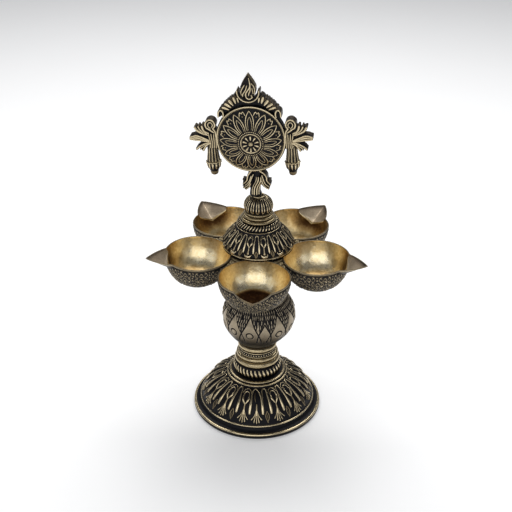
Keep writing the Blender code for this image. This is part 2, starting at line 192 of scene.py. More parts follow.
ANTIQUE = ((0.0, (0.002, 0.002, 0.004)), (0.3, (0.008, 0.007, 0.008)), (0.5, (0.085, 0.062, 0.034)),
           (0.75, (0.33, 0.26, 0.15)), (1.0, (0.74, 0.62, 0.40)))
STONY = ((0.0, (0.003, 0.003, 0.004)), (0.3, (0.028, 0.024, 0.020)), (0.6, (0.20, 0.16, 0.11)),
         (1.0, (0.56, 0.475, 0.345)))
TURNED = ((0.0, (0.004, 0.003, 0.003)), (0.3, (0.030, 0.022, 0.013)), (0.6, (0.27, 0.21, 0.115)),
          (1.0, (0.74, 0.61, 0.38)))
CHASED = ((0.0, (0.004, 0.004, 0.005)), (0.3, (0.020, 0.017, 0.014)), (0.6, (0.15, 0.117, 0.072)),
          (1.0, (0.62, 0.51, 0.32)))
DULL_SPOUT = ((0.0, (0.020, 0.014, 0.010)), (0.5, (0.27, 0.21, 0.145)), (1.0, (0.60, 0.50, 0.36)))

antique = brass("antique_brass", ANTIQUE, 0.5, 0.22)
stony = brass("matte_bulb_brass", STONY, 0.5, 0.3, grain=0.0001, grain_scale=1700.0, mottle=0.3)
turned_brass = brass("turned_brass", TURNED, 0.42, 0.19, stain=0.3)
chased = brass("chased_bowl_brass", CHASED, 0.55, 0.32, grain=0.00008, mottle=0.35)
spout_brass = brass("dull_spout_brass", DULL_SPOUT, 0.6, 0.36, dark_metal=0.5, mottle=0.45, stain=0.9)


def polished_bowl():
    """The inside of a bowl: spun, hammered and polished, dark where rub is low."""
    made, tree, shader = material("polished_bowl_brass")
    rub = node(tree, "Attribute", attribute_name="rub").outputs["Fac"]
    cloud = noise(tree, 95.0, 6.0, 0.62)
    fine = noise(tree, 520.0, 5.0, 0.6)
    scratch = noise(tree, 1900.0, 2.0, 0.5)
    soiled = maths(tree, "ADD", rub, spread(tree, cloud, 0.5))
    factor = maths(tree, "ADD", soiled, spread(tree, fine, 0.35), clamp=True)
    stops = ((0.0, (0.018, 0.007, 0.003)), (0.3, (0.11, 0.055, 0.020)), (0.6, (0.42, 0.28, 0.115)),
             (0.85, (0.76, 0.61, 0.34)), (1.0, (0.92, 0.81, 0.56)))
    tree.links.new(ramp(tree, factor, stops), shader.inputs["Base Color"])
    shader.inputs["Metallic"].default_value = 1.0
    rough = maths(tree, "ADD", remap(tree, factor, 0.45, 0.27), spread(tree, fine, 0.18))
    tree.links.new(rough, shader.inputs["Roughness"])
    hammer = noise(tree, 170.0, 2.0, 0.5)
    normal = bump(tree, [(hammer, 0.0005), (fine, 0.00008), (scratch, 0.00003)])
    tree.links.new(normal, shader.inputs["Normal"])
    return made


polished = polished_bowl()


# Curves, skins and relief.


def smooth_path(points, closed=False, steps=6):
    """A Catmull-Rom curve through points of any width."""
    given = np.asarray(points, float)
    if len(given) < 3:
        share = np.linspace(0, 1, steps + 1)[:, None]
        return given[0] + (given[-1] - given[0]) * share
    if closed:
        padded = np.vstack([given[-1], given, given[:2]])
    else:
        padded = np.vstack([2 * given[0] - given[1], given, 2 * given[-1] - given[-2]])
    share = np.linspace(0, 1, steps, endpoint=False)[:, None]
    parts = []
    for a, b, c, d in zip(padded, padded[1:], padded[2:], padded[3:]):
        parts.append(0.5 * (2 * b + (c - a) * share + (2 * a - 5 * b + 4 * c - d) * share ** 2
                            + (3 * b - a - 3 * c + d) * share ** 3))
    if not closed:
        parts.append(given[-1:])
    return np.vstack(parts)


def mirrored(half, *middle):
    """The left half of a path, its middle point if it has one, and its mirror image."""
    return [*half, *middle, *[(-a, s, w) for a, s, w in half[::-1]]]


def segments(curve, across, down, scale=1.0):
    """For each segment of a curve of (across, down, half-width): how far off points are, and its width."""
    for (x0, y0, w0), (x1, y1, w1) in zip(curve, curve[1:]):
        run = (x1 - x0) * scale
        fall = y1 - y0
        away, below = across - x0 * scale, down - y0
        share = np.clip((away * run + below * fall) / np.maximum(run ** 2 + fall ** 2, 1e-9), 0, 1)
        yield np.hypot(away - share * run, below - share * fall), w0 + (w1 - w0) * share


def gloss(crest):
    """Only the top of a rounded line is rubbed bright."""
    return np.clip((crest - 0.2) / 0.55, 0, 1)


def ways(line):
    """The unit direction along each row of a line or a table of points."""
    slope = np.gradient(line, axis=0)
    return slope / np.maximum(np.linalg.norm(slope, axis=-1, keepdims=True), 1e-9)


def resampled(points, step):
    """Rows at even steps along a curve of (radius, height, ...) points."""
    lengths = np.hypot(*np.diff(points[:, :2], axis=0).T)
    along = np.concatenate([[0.0], np.cumsum(lengths)])
    count = max(2, int(math.ceil(along[-1] / step)) + 1)
    places = np.linspace(0, along[-1], count)
    return np.stack([np.interp(places, along, column) for column in points.T], axis=1)


def outline_rows(runs):
    """Rows of (radius, height, rub) down an outline, and where each run starts among them.

    A run is (rub, step, points). Points in a run make one curve, and runs meet at corners.
    """
    rows = []
    starts = []
    count = 0
    for rub, step, points in runs:
        curve = resampled(smooth_path(points), step)
        starts.append(count)
        kept = curve[:-1]
        rows.append(np.column_stack([kept, np.full(len(kept), rub)]))
        count += len(kept)
    rub, _, points = runs[-1]
    rows.append(np.array([[*points[-1], rub]]))
    return np.vstack(rows), starts


def bead(radius, height, half, depth, steps=8):
    """A half-round bead from top to bottom, its crest at the radius and height given."""
    angles = np.linspace(math.pi / 2, -math.pi / 2, steps)
    return [(radius - depth * (1 - math.cos(a)), height + half * math.sin(a)) for a in angles]


def bow(start, end, rise, steps=9):
    """A curve from start to end that stands out by rise at its middle, to the left of its way."""
    (r0, z0), (r1, z1) = start, end
    length = math.hypot(r1 - r0, z1 - z0)
    points = []
    for t in np.linspace(0, 1, steps):
        lift = 4 * rise * t * (1 - t) / length
        points.append((r0 + (r1 - r0) * t - (z1 - z0) * lift, z0 + (z1 - z0) * t + (r1 - r0) * lift))
    return points


class Relief:
    """A height over a turned surface, with a row for each outline step and a column for each angle."""

    def __init__(self, rows, start, columns):
        self.angles = np.arange(columns) * 360.0 / columns
        steps = np.hypot(*np.diff(rows[:, :2], axis=0).T)
        along = np.concatenate([[0.0], np.cumsum(steps)])
        self.along = along - along[start]
        self.radii = rows[:, 0]
        self.height = np.zeros((len(rows), columns))
        self.tone = np.zeros((len(rows), columns))

    def stroke(self, path, lift=1.0, cut=False, closed=False, steps=6, bright=1.0):
        """A rounded line along a path of (degrees, millimetres down, half-width)."""
        curve = smooth_path(path, closed, steps)
        if closed:
            curve = np.vstack([curve, curve[:1]])
        reach = curve[:, 2].max()
        middle = (curve[:, 0].min() + curve[:, 0].max()) / 2
        low, high = curve[:, 1].min() - reach, curve[:, 1].max() + reach
        found = np.nonzero((self.along >= low) & (self.along <= high))[0]
        if not len(found):
            return
        rows = slice(found[0], found[-1] + 1)
        radii = np.maximum(self.radii[rows], 0.5)
        span = (curve[:, 0].max() - curve[:, 0].min()) / 2 + math.degrees(reach / radii.min())
        offsets = (self.angles - middle + 180.0) % 360.0 - 180.0
        columns = np.nonzero(np.abs(offsets) <= span)[0]
        scale = np.radians(radii)[:, None]
        across = (offsets[columns][None, :] + middle) * scale
        down = np.repeat(self.along[rows][:, None], len(columns), axis=1)
        best = np.zeros_like(across)
        crest = np.zeros_like(across)
        for distance, width in segments(curve, across, down, scale):
            rise = np.sqrt(np.clip(1 - (distance / width) ** 2, 0, None))
            best = np.maximum(best, rise * width ** 0.7 * lift)
            crest = np.maximum(crest, rise)
        patch = np.ix_(np.arange(rows.start, rows.stop), columns)
        if cut:
            inside = crest > 0
            self.height[patch] = np.where(inside, -best, self.height[patch])
            self.tone[patch] = np.where(inside, -np.clip(crest * 1.6, 0, 1), self.tone[patch])
        else:
            self.height[patch] = np.maximum(self.height[patch], best)
            self.tone[patch] = np.maximum(self.tone[patch], gloss(crest ** 2) * bright)


def shell(points, rub, wrap_rows=False, poles=(False, False)):
    """A surface over rows and columns of points in millimetres. Columns always close on themselves."""
    rows, columns = points.shape[:2]
    index = np.arange(rows * columns).reshape(rows, columns)
    top = index if wrap_rows else index[:-1]
    bottom = np.roll(index, -1, axis=0) if wrap_rows else index[1:]
    quads = np.stack([top, bottom, np.roll(bottom, -1, 1), np.roll(top, -1, 1)], -1).reshape(-1, 4)
    verts = points.reshape(-1, 3)
    tones = rub.reshape(-1)
    fans = np.zeros((0, 3), int)
    for wanted, ring, turn in zip(poles, (index[0], index[-1]), (1, -1)):
        if wanted:
            pole = len(verts)
            verts = np.vstack([verts, verts[ring].mean(axis=0)])
            tones = np.append(tones, tones[ring].mean())
            pair = [ring, np.roll(ring, -1)][::turn]
            fans = np.vstack([fans, np.stack([np.full(columns, pole), *pair], -1)])
    middle = verts.mean(axis=0)
    corners = verts[quads] - middle
    inward = np.einsum("ij,ij->i", np.cross(corners[:, 1] - corners[:, 0],
                                            corners[:, 2] - corners[:, 0]), corners[:, 0]).sum() < 0
    if inward:
        quads = quads[:, ::-1]
        fans = fans[:, ::-1]
    return verts, quads, fans, tones


def skin(name, *shells):
    """One mesh of closed shells."""
    mesh = bpy.data.meshes.new(name)
    base = np.cumsum([0] + [len(part[0]) for part in shells])
    quads = np.vstack([part[1] + start for part, start in zip(shells, base)])
    fans = np.vstack([part[2] + start for part, start in zip(shells, base)])
    verts = np.vstack([part[0] for part in shells])
    loops = np.concatenate([quads.ravel(), fans.ravel()]).astype(np.int32)
    sizes = np.repeat([4, 3], [len(quads), len(fans)])
    starts = np.concatenate([[0], np.cumsum(sizes)[:-1]]).astype(np.int32)
    mesh.vertices.add(len(verts))
    mesh.vertices.foreach_set("co", (verts * MM).astype(np.float32).ravel())
    mesh.loops.add(len(loops))
    mesh.loops.foreach_set("vertex_index", loops)
    mesh.polygons.add(len(starts))
    mesh.polygons.foreach_set("loop_start", starts)
    mesh.update(calc_edges=True)
    mesh.shade_smooth()
    set_rub(mesh, np.concatenate([part[3] for part in shells]))
    return linked(name, mesh)


def linked(name, data):
    obj = bpy.data.objects.new(name, data)
    bpy.context.scene.collection.objects.link(obj)
    return obj


def read(items, key, width=3, kind=np.float32):
    """A property of every item of a mesh, a row for each item."""
    values = np.empty(len(items) * width, kind)
    items.foreach_get(key, values)
    return values.reshape(-1, width)


def set_rub(mesh, tones):
    layer = mesh.attributes.get("rub") or mesh.attributes.new("rub", "FLOAT", "POINT")
    layer.data.foreach_set("value", np.clip(tones, 0, 1).astype(np.float32))


def hollows(obj, rounds):
    """How far each point stands above the surface smoothed around it, in millimetres."""
    mesh = obj.data
    count = len(mesh.vertices)
    places = read(mesh.vertices, "co").astype(float) / MM
    one, other = read(mesh.edges, "vertices", 2, np.int32).T
    links = np.maximum(np.bincount(one, minlength=count) + np.bincount(other, minlength=count), 1)
    soft = places.copy()
    for _ in range(rounds):
        mean = np.empty_like(soft)
        for k in range(3):
            total = np.bincount(one, soft[other, k], count) + np.bincount(other, soft[one, k], count)
            mean[:, k] = total / links
        soft = (soft + mean) / 2
    return np.einsum("ij,ij->i", places - soft, read(mesh.vertices, "normal"))


def age(obj, gain, rounds=10):
    """Brightens what stands proud and darkens hollows, by gain for each millimetre."""
    tones = read(obj.data.attributes["rub"].data, "value", 1)[:, 0]
    set_rub(obj.data, tones + gain * hollows(obj, rounds))


def raised(rows, height):
    """Radii and levels of a turned surface pushed out along its normals by a height array."""
    slope = ways(rows[:, :2])
    return np.maximum(rows[:, :1] - height * slope[:, 1:], 0.0), rows[:, 1:2] + height * slope[:, :1]


def round_points(radius, level):
    """Points at a radius and a level for each row and column. Column 0 is at the front."""
    angles = np.radians(np.arange(radius.shape[1]) * 360.0 / radius.shape[1])
    return np.stack([radius * np.sin(angles), AXIS_Y - radius * np.cos(angles), level + 0 * radius], -1)


def place_piece(obj, body, replaced, slot, *metals):
    for metal in metals:
        obj.data.materials.append(metal)
    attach(obj, body)
    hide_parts(*replaced)


def bored(bore, top, runs, *bottom):
    """Runs of a piece about its bore, from its flat top's edge to its underside's points."""
    if bottom:
        runs = [*runs, (PAINTED_SHADE_RUB, HIDDEN, [*bottom, (bore, bottom[-1][1])])]
    low, high = runs[-1][2][-1], (bore, top[1])
    wall = [(PAINTED_SHADE_RUB, HIDDEN, [low, high])] if bore else []
    return [(PAINTED_SHADE_RUB, HIDDEN, [high, top]), *runs, *wall]


def turned_piece(name, runs, columns, body, metal, slot, ornament=None, solid=False,
                 gain=0.5, rounds=10):
    """A turned piece. ornament(relief) draws on it from its second run down, and its crests shine."""
    rows, starts = outline_rows(runs)
    if not solid:
        rows = rows[:-1]
    relief = Relief(rows, starts[1], columns)
    if ornament:
        ornament(relief)
    points = round_points(*raised(rows, relief.height))
    tones = rows[:, 2:] + relief.tone
    obj = skin("cast_" + name, shell(points, tones, wrap_rows=not solid, poles=(solid, solid)))
    age(obj, gain, rounds)
    place_piece(obj, body, [name], slot, metal)


# Ornament shared by the foot and the skirt: hairpin loops, leaf buds and bell flowers.


def shifted(centre, path):
    return [(centre + a, s, w) for a, s, w in path]


def hairpin(relief, centre, spread, top, foot, thin, thick):
    """A tall loop whose two legs swell to clubs at the bottom."""
    narrow, wide = spread
    drop = foot - top
    half = [(-wide, foot, thick * 0.8), (-wide, foot - 0.2 * drop, thick)]
    half += [(-wide * 0.96, foot - 0.48 * drop, (thick + thin) / 2)]
    half += [(-narrow, top + 0.24 * drop, thin), (-narrow * 0.92, top + 0.1 * drop, thin)]
    half += [(-narrow * 0.6, top + 0.025 * drop, thin)]
    relief.stroke(shifted(centre, mirrored(half, (0, top, thin))), lift=1.15)


def bell(relief, centre, spread, neck, lip, tip, stem):
    """A flower on a stem: a flaring cup with five ribs that end in a scalloped lip."""
    fall = lip - neck
    cup = [(0, neck, stem), (0, neck + 0.4 * fall, stem * 1.4), (0, neck + 0.75 * fall, stem * 2.4)]
    relief.stroke(shifted(centre, cup), lift=0.75, bright=0.75)
    for share in (-1.0, -0.5, 0.0, 0.5, 1.0):
        reach = lip + (tip - lip) * (1 - 0.75 * share * share)
        rib = [(share * spread * 0.12, neck + 0.45 * fall, stem * 0.5),
               (share * spread * 0.45, neck + 0.8 * fall, stem * 0.6),
               (share * spread * 0.95, reach, stem * 1.0)]
        relief.stroke(shifted(centre, rib), lift=1.25, bright=0.9)


def bud(relief, centre, spread, top, foot, thin):
    """A pointed leaf bud: an outline with a ridge inside."""
    fall = foot - top
    for side in (-1, 1):
        edge = [(0, top, thin * 0.6), (side * spread, top + 0.45 * fall, thin), (0, foot, thin * 0.7)]
        relief.stroke(shifted(centre, edge), bright=0.7)
    ridge = [(0, top + 0.25 * fall, thin * 0.4), (0, top + 0.5 * fall, thin * 0.8),
             (0, foot - 0.15 * fall, thin * 0.4)]
    relief.stroke(shifted(centre, ridge), lift=0.8, bright=0.6)


def knotted_loop(relief, centre, spread, top, knot, thin, thick):
    """A loop whose sides swell and cross at a knot below it."""
    fall = knot - top
    for side in (-1, 1):
        path = [(0, top, thin), (side * spread * 0.75, top + 0.1 * fall, thin),
                (side * spread, top + 0.34 * fall, thin * 1.1),
                (side * spread * 0.85, top + 0.66 * fall, thick), (side * 0.6, knot, thin)]
        relief.stroke(shifted(centre, path), lift=1.15)


def hoop(relief, place, width):
    """A plain raised line around a piece."""
    for middle in (0, 180):
        relief.stroke([(middle + a, place, width) for a in (-100, 0, 100)], steps=60)


# Foot. Its moulded strip closes at the front, where two bells stand together.

FOOT_PERIOD = 24.65
FOOT_BELLS = 15
FOOT_SEAM_BELL = 2.9
DOME_LEAD = 1.4  # from the dome's upper edge down to where its ornament is measured from


def foot_ornament(relief):
    relief.along = relief.along - DOME_LEAD
    for k in range(FOOT_BELLS):
        centre = FOOT_SEAM_BELL + FOOT_PERIOD * k
        if k == 0:
            relief.stroke([(-5.0, 22.4, 1.3), (-4.7, 17.0, 1.55), (-4.3, 11.0, 1.05), (-4.0, 5.0, 0.62),
                           (-1.6, 1.6, 0.6), (1.2, 1.0, 0.6), (5.8, 3.4, 0.6), (8.6, 8.0, 0.7),
                           (9.8, 14.0, 1.15), (10.2, 18.0, 1.4)], lift=1.15)
            relief.stroke([(0.4, 4.6, 0.3), (0.2, 8.5, 0.6), (1.2, 12.5, 0.3)], lift=0.7, bright=0.6)
        else:
            arch = mirrored([(-6.8, 5.2, 0.42), (-4.7, 2.7, 0.45), (-1.8, 1.3, 0.45)])
            relief.stroke(shifted(centre, arch), bright=0.85)
            knotted_loop(relief, centre, 4.2, 3.9, 15.0, 0.55, 1.2)
        bell(relief, centre, 5.6, 14.8, 26.6, 30.4, 0.72)
        if k < FOOT_BELLS - 1:
            between = centre + FOOT_PERIOD / 2 - 0.5
            hairpin(relief, between, (3.7, 4.8), 1.0, 22.6, 0.6, 1.6)
            bud(relief, between, 1.9, 20.6, 30.4, 0.5)


def make_base_foot():
    runs = [
        (0.02, 1.0, [(FOOT_BORE, 36.0), (18.0, 36.0), (22.6, 35.8)]),
        (0.85, FINE, bead(24.1, 35.0, 0.7, 0.9)),
        (0.0, FINE, [(23.2, 34.3), (24.3, 33.6), (25.2, 34.0)]),
        (0.85, FINE, bead(26.3, 33.2, 0.7, 0.95)),
        (0.0, FINE, [(25.35, 32.5), (25.9, 31.5)] + bow((26.6, 31.2), (48.2, 9.9), 3.0, 12)),
        (0.0, FINE, [(48.2, 9.9), (48.9, 9.1)]),
        (0.95, FINE, bead(49.8, 8.3, 0.7, 0.8)),
        (0.0, FINE, [(49.0, 7.6), (49.9, 5.9), (51.6, 4.7), (53.8, 4.2)]),
        (0.95, FINE, [(53.8, 4.2), (54.5, 4.3), (55.2, 3.9), (55.65, 3.1)]),
        (0.12, FINE, [(55.65, 3.1), (55.75, 2.0), (55.6, 0.9), (55.0, 0.0)]),
        (PAINTED_SHADE_RUB, 1.0, [(55.0, 0.0), (50.4, 0.0)]),
        (PAINTED_SHADE_RUB, 1.0, [(50.4, 0.0), (48.6, 3.8), (44.6, 9.6), (37.0, 20.6), (25.6, 28.2), (11.6, 31.0)]),
        (PAINTED_SHADE_RUB, HIDDEN, [(11.6, 31.0), (10.2, 24.0)]),
        (PAINTED_SHADE_RUB, HIDDEN, [(10.2, 24.0), (FOOT_BORE, 24.0)]),
        (PAINTED_SHADE_RUB, HIDDEN, [(FOOT_BORE, 24.0), (FOOT_BORE, 36.0)]),
    ]
    rows, starts = outline_rows(runs)
    rows = rows[:-1]
    relief = Relief(rows, starts[4], 1320)
    foot_ornament(relief)
    points = round_points(*raised(rows, relief.height))
    obj = skin("cast_base_foot", shell(points, rows[:, 2:] + relief.tone, wrap_rows=True))
    age(obj, 0.3, 8)
    place_piece(obj, "foot", ["base_foot"], "antique_brass", antique)


# Stem.


def rope(count, top, bottom, slant, width, thin):
    """Slanting strands laid side by side around a ring."""
    def draw(relief):
        for k in range(count):
            a = 360.0 * k / count
            relief.stroke([(a - slant, top, thin), (a - 0.4 * slant, top * 0.7 + bottom * 0.3, width),
                           (a + 0.4 * slant, top * 0.3 + bottom * 0.7, width * 1.08),
                           (a + slant, bottom, thin * 1.3)], lift=1.1)
    return draw


def bead_row(count, place, radius):
    def draw(relief):
        for k in range(count):
            a = 360.0 * k / count
            relief.stroke([(a, place - 0.12, radius), (a, place + 0.12, radius)], lift=1.1)
    return draw


def make_stem():
    strands = [(0.0, 0.26, bead(19.3, 40.75, 4.45, 1.7, 12))]
    turned_piece("lower_rope_ring", bored(FOOT_BORE, (17.6, 45.2), strands, (17.6, 36.3)), 960, "seat_ring",
                 antique, "antique_brass", rope(35, 1.9, 8.9, 2.7, 1.12, 0.6))

    turned_piece("stem_collar", bored(FOOT_BORE, (15.7, 55.1), [
        (0.62, 0.33, bead(18.0, 53.3, 1.7, 2.2, 12)),
        (0.0, 0.33, [(15.8, 51.6), (16.4, 51.25), (16.0, 50.9)]),
        (0.62, 0.33, bead(19.35, 48.25, 2.65, 3.2, 14)),
    ], (16.15, 45.5)), 480, "stem", turned_brass, "turned_brass", gain=2.6)

    def beads(relief):
        bead_row(46, 2.2, 0.66)(relief)
        hoop(relief, 0.5, 0.42)
        hoop(relief, 3.95, 0.42)

    turned_piece("bead_band", bored(FOOT_BORE, (15.5, 59.9), [
        (0.0, 0.22, [(15.5, 59.9), (15.8, 57.6), (15.9, 55.4)]),
    ], (15.9, 55.4)), 640, "stem", antique, "antique_brass", beads)

    turned_piece("bulb_seat_ring", bored(FOOT_BORE, (13.9, 64.6), [
        (0.62, 0.33, bead(16.7, 62.35, 2.1, 2.6, 12)),
    ], (14.1, 60.2)), 420, "stem", turned_brass, "turned_brass", gain=2.6)

    turned_piece("stem_neck", bored(ROD_BORE, (19.0, 139.9), [
        (0.4, PLAIN, [(19.0, 139.9), (19.4, 139.2), (18.8, 137.8), (16.4, 136.4)]),
        (0.4, PLAIN, bow((16.4, 136.4), (10.4, 124.0), -1.6)),
        (0.0, PLAIN, [(10.4, 124.0), (10.6, 122.0), (11.8, 120.7)]),
        (0.5, PLAIN, bead(14.0, 118.4, 2.2, 2.2)),
    ], (11.8, 116.2), (11.9, 115.2)), 420, "stem", turned_brass, "turned_brass")


# Lotus bulb: plain petals with a ringed boss, cut lines that cross, and feathered leaves above.

PETALS = 12
SEAM_CENTRE = 12.5
PETAL_STEP = 28.4
FIRST_PETAL = SEAM_CENTRE + 23.8
BULB_LEAD = 5.5  # from the top edge down to where its ornament is measured from
BULB_LEAN = 1.2  # the hand-turned bulb stands this far off its axis
BULB_LENGTH = 57.0  # down its side
PETAL_SWELL = 0.8
BOSS_PLACE = 29.0  # down the side to the middle of the petals


def bulb_ornament(relief):
    relief.along = relief.along - BULB_LEAD

    def cut(centre, side, path, width=0.6):
        relief.stroke([(centre + side * a, s, width) for a, s in path], lift=1.0, cut=True)

    def feathers(middle, wide, foot):
        """Rows of short strands that fill the wedge between two petals."""
        rows = 7
        step = (foot + 0.6) / rows
        for row in range(rows):
            top = -1.0 + step * row
            reach = wide * min(1.0, (foot - top - 0.45 * step) / (foot - 11.6))
            count = max(2, int(2 * reach / 3.4) + row % 2)
            for a in np.linspace(-reach, reach, count):
                lean = 0.1 * a
                relief.stroke([(middle + a, top, 0.2), (middle + a - 0.5 * lean, top + 0.45 * step, 0.42),
                               (middle + a - lean, top + step * 0.9, 0.2)], lift=1.15, bright=0.85)
        relief.stroke([(middle, foot * 0.44, 0.5), (middle, foot * 0.5, 0.8), (middle, foot * 0.57, 0.4)],
                      lift=1.2, cut=True)

    centres = [FIRST_PETAL + PETAL_STEP * k for k in range(PETALS)]
    middles = [centre + PETAL_STEP / 2 for centre in centres[:-1]]
    for middle in middles:
        feathers(middle, 12.6, 27.0)
    for side in (-1, 1):
        feathers(SEAM_CENTRE + side * 11.0, 9.6, 27.5)
    for centre in centres:
        for side in (-1, 1):
            cut(centre, side, [(0, 11.6), (3.4, 16.0), (8.0, 22.0), (13.6, 28.4), (17.6, 34.0), (19.6, 39.5)])
        ring = [(centre + 5.6 * math.sin(t), 30.0 + 3.0 * math.cos(t), 0.58)
                for t in np.linspace(0, math.tau, 12, endpoint=False)]
        relief.stroke([(centre, 29.8, 2.3), (centre, 30.2, 2.3)], lift=0.12, bright=0.3)
        relief.stroke(ring, lift=1.1, cut=True, closed=True)
    for side in (-1, 1):
        cut(SEAM_CENTRE, side, [(0, 18.5), (4.4, 23.0), (9.6, 29.0), (11.4, 35.0), (12.0, 38.0)])


def make_bulb():
    rows, starts = outline_rows([
        # The bulb's top, underside and bore get a low rub: painted shade.
        (0.1, HIDDEN, [(ROD_BORE, 114.9), (13.2, 114.9)]),
        (0.0, 0.3, [(13.2, 114.9), (18.2, 112.7), (23.2, 109.0), (27.3, 103.8), (30.0, 97.8),
                    (31.0, 91.4), (30.3, 85.6), (27.9, 79.9), (24.4, 74.7), (20.6, 70.4),
                    (17.1, 67.2), (14.4, 64.9)]),
        (0.1, HIDDEN, [(14.4, 64.9), (FOOT_BORE, 64.9)]),
        (0.1, HIDDEN, [(FOOT_BORE, 64.9), (FOOT_BORE, 76.0)]),
        (0.1, HIDDEN, [(FOOT_BORE, 76.0), (ROD_BORE, 99.0)]),
        (0.1, HIDDEN, [(ROD_BORE, 99.0), (ROD_BORE, 114.9)]),
    ])
    rows = rows[:-1]
    relief = Relief(rows, starts[1], 840)
    bulb_ornament(relief)
    angles = relief.angles[None, :]
    along = relief.along[:, None]
    outside = np.zeros((len(rows), 1))
    outside[starts[1]:starts[2]] = 1.0
    # Each petal swells around its boss, so that the bulb is lobed.
    share = ((angles - FIRST_PETAL + PETAL_STEP / 2) % PETAL_STEP) / PETAL_STEP - 0.5
    in_seam = np.abs((angles - SEAM_CENTRE + 180) % 360 - 180) < PETAL_STEP / 3
    swell = np.where(in_seam, 0.3, np.cos(math.pi * share) ** 0.8)
    height = relief.height \
        + PETAL_SWELL * (swell - 0.9) * np.exp(-((along - BOSS_PLACE) / 9.0) ** 2) * outside
    tip = np.where(in_seam, 16.0 + np.abs((angles - SEAM_CENTRE + 180) % 360 - 180) * 1.15,
                   10.5 + np.abs(share) * 39.0)
    petal = np.clip((along - tip) / 0.8, 0, 1)
    # Rub: petals over the dark feathered ground, with a painted shade that darkens the lower part of the
    # bulb.
    base = 0.04 + 0.74 * petal * (1 - 0.3 * np.clip((along - 22.0) / 12.0, 0, 1)) \
        - 0.35 * np.clip((along - 35.0) / 7.0, 0, 1)
    tone = np.where(relief.tone > 0, relief.tone * (1 - 0.7 * petal), relief.tone)
    points = round_points(*raised(rows, height))
    down = np.clip((along + BULB_LEAD) / BULB_LENGTH, 0, 1)
    points[:, :, 0] += BULB_LEAN * np.sin(math.pi * down) * outside
    obj = skin("cast_stem_bulb", shell(points, base + tone, wrap_rows=True))
    age(obj, 0.8, 8)
    place_piece(obj, "stem", ["stem_bulb"], "antique_brass", stony)


# Bowls.

SPOUT_ROOT_ANGLE = math.radians(33.0)
SPOUT_FULLNESS = (1.25, 0.85)  # how the spout's sides bow out from its root to its tip
TROUGH_FULLNESS = 0.68
RIM_WALL = 0.9
OIL_AND_SHADE_RADIUS = 17.5
OIL_AND_SHADE_FRONT = 0.9  # rub lost to burnt oil and a painted dark reflection in the front bowl, and in the others
OIL_AND_SHADE_OTHERS = 0.3
SEAT_SINK = 0.6  # the hub's seats reach this far into the bowls' walls, as brazed metal does
BRAZE_BEADS = ((33.2, 155.6, 2.3), (36.6, 154.6, 2.0))  # distance from the rod, height, size


def pinched_radius(angle):
    return BOWL_RADIUS - BOWL_PINCH * ((1 + math.cos(angle)) / 2) ** 3


def spout_edge(inset):
    """Angles from the spout's middle and the distances of its edge there. Its tip is blunt."""
    root = pinched_radius(SPOUT_ROOT_ANGLE) - inset
    start = root * math.cos(SPOUT_ROOT_ANGLE)
    half = root * math.sin(SPOUT_ROOT_ANGLE)
    reach = SPOUT_REACH - 1.2 * inset
    share = np.linspace(0, 1, 120)
    early, late = SPOUT_FULLNESS
    across = half * (1 - share ** early) ** late
    ahead = start + (reach - start) * share
    return np.arctan2(across, ahead)[::-1], np.hypot(ahead, across)[::-1]


def bowl_side(angle, inset, edge, steps, edge_steps):
    """(distance, height) points from near the bowl's bottom to its rim."""
    radius = pinched_radius(angle) - inset
    deep = BOWL_DEPTH - inset
    share = max(0.0, 1 - abs(angle) / SPOUT_ROOT_ANGLE)
    drop = RIM_BAND + (SPOUT_DROP + 0.3 * inset - RIM_BAND) * share ** TROUGH_FULLNESS
    turn = np.linspace(0.03, math.acos(drop / deep), steps)
    points = np.column_stack([radius * np.sin(turn), -deep * np.cos(turn)])
    distance = max(radius, float(np.interp(abs(angle), *edge))) if share > 0 else radius
    last = np.array([distance, SPOUT_LIFT * share - 0.25])
    return np.vstack([points, np.linspace(points[-1], last, edge_steps + 1)[1:]])


def scroll(relief, a, s, size, side):
    """A tendril with a curl, leaves and berries."""
    wide = size / 0.44
    curl = [(0.9, 0.0, 0.30), (0.7, 0.75, 0.34), (-0.1, 0.95, 0.38), (-0.7, 0.4, 0.34),
            (-0.5, -0.3, 0.32), (0.05, -0.4, 0.34), (0.25, 0.05, 0.36)]
    relief.stroke([(a + side * x * wide, s + y * size, w) for x, y, w in curl], steps=3)
    for x0, y0, x1, y1 in ((0.9, 0.0, 1.5, -0.7), (-0.6, -0.7, 0.4, -1.15), (-1.1, 0.9, -1.5, 0.0),
                           (0.9, 1.1, 1.6, 0.7), (-1.2, -0.5, -1.7, -1.1), (0.2, 1.35, -0.5, 1.5)):
        relief.stroke([(a + side * x0 * wide, s + y0 * size, 0.22),
                       (a + side * (x0 + x1) / 2 * wide, s + (y0 + y1) / 2 * size, 0.55),
                       (a + side * x1 * wide, s + y1 * size, 0.18)], steps=3, bright=0.9)


CHASED_ROWS = ((27, 6.0, 2.1), (25, 10.9, 2.2), (22, 15.9, 2.3), (17, 20.6, 2.2))
CHASED_END = 23.2


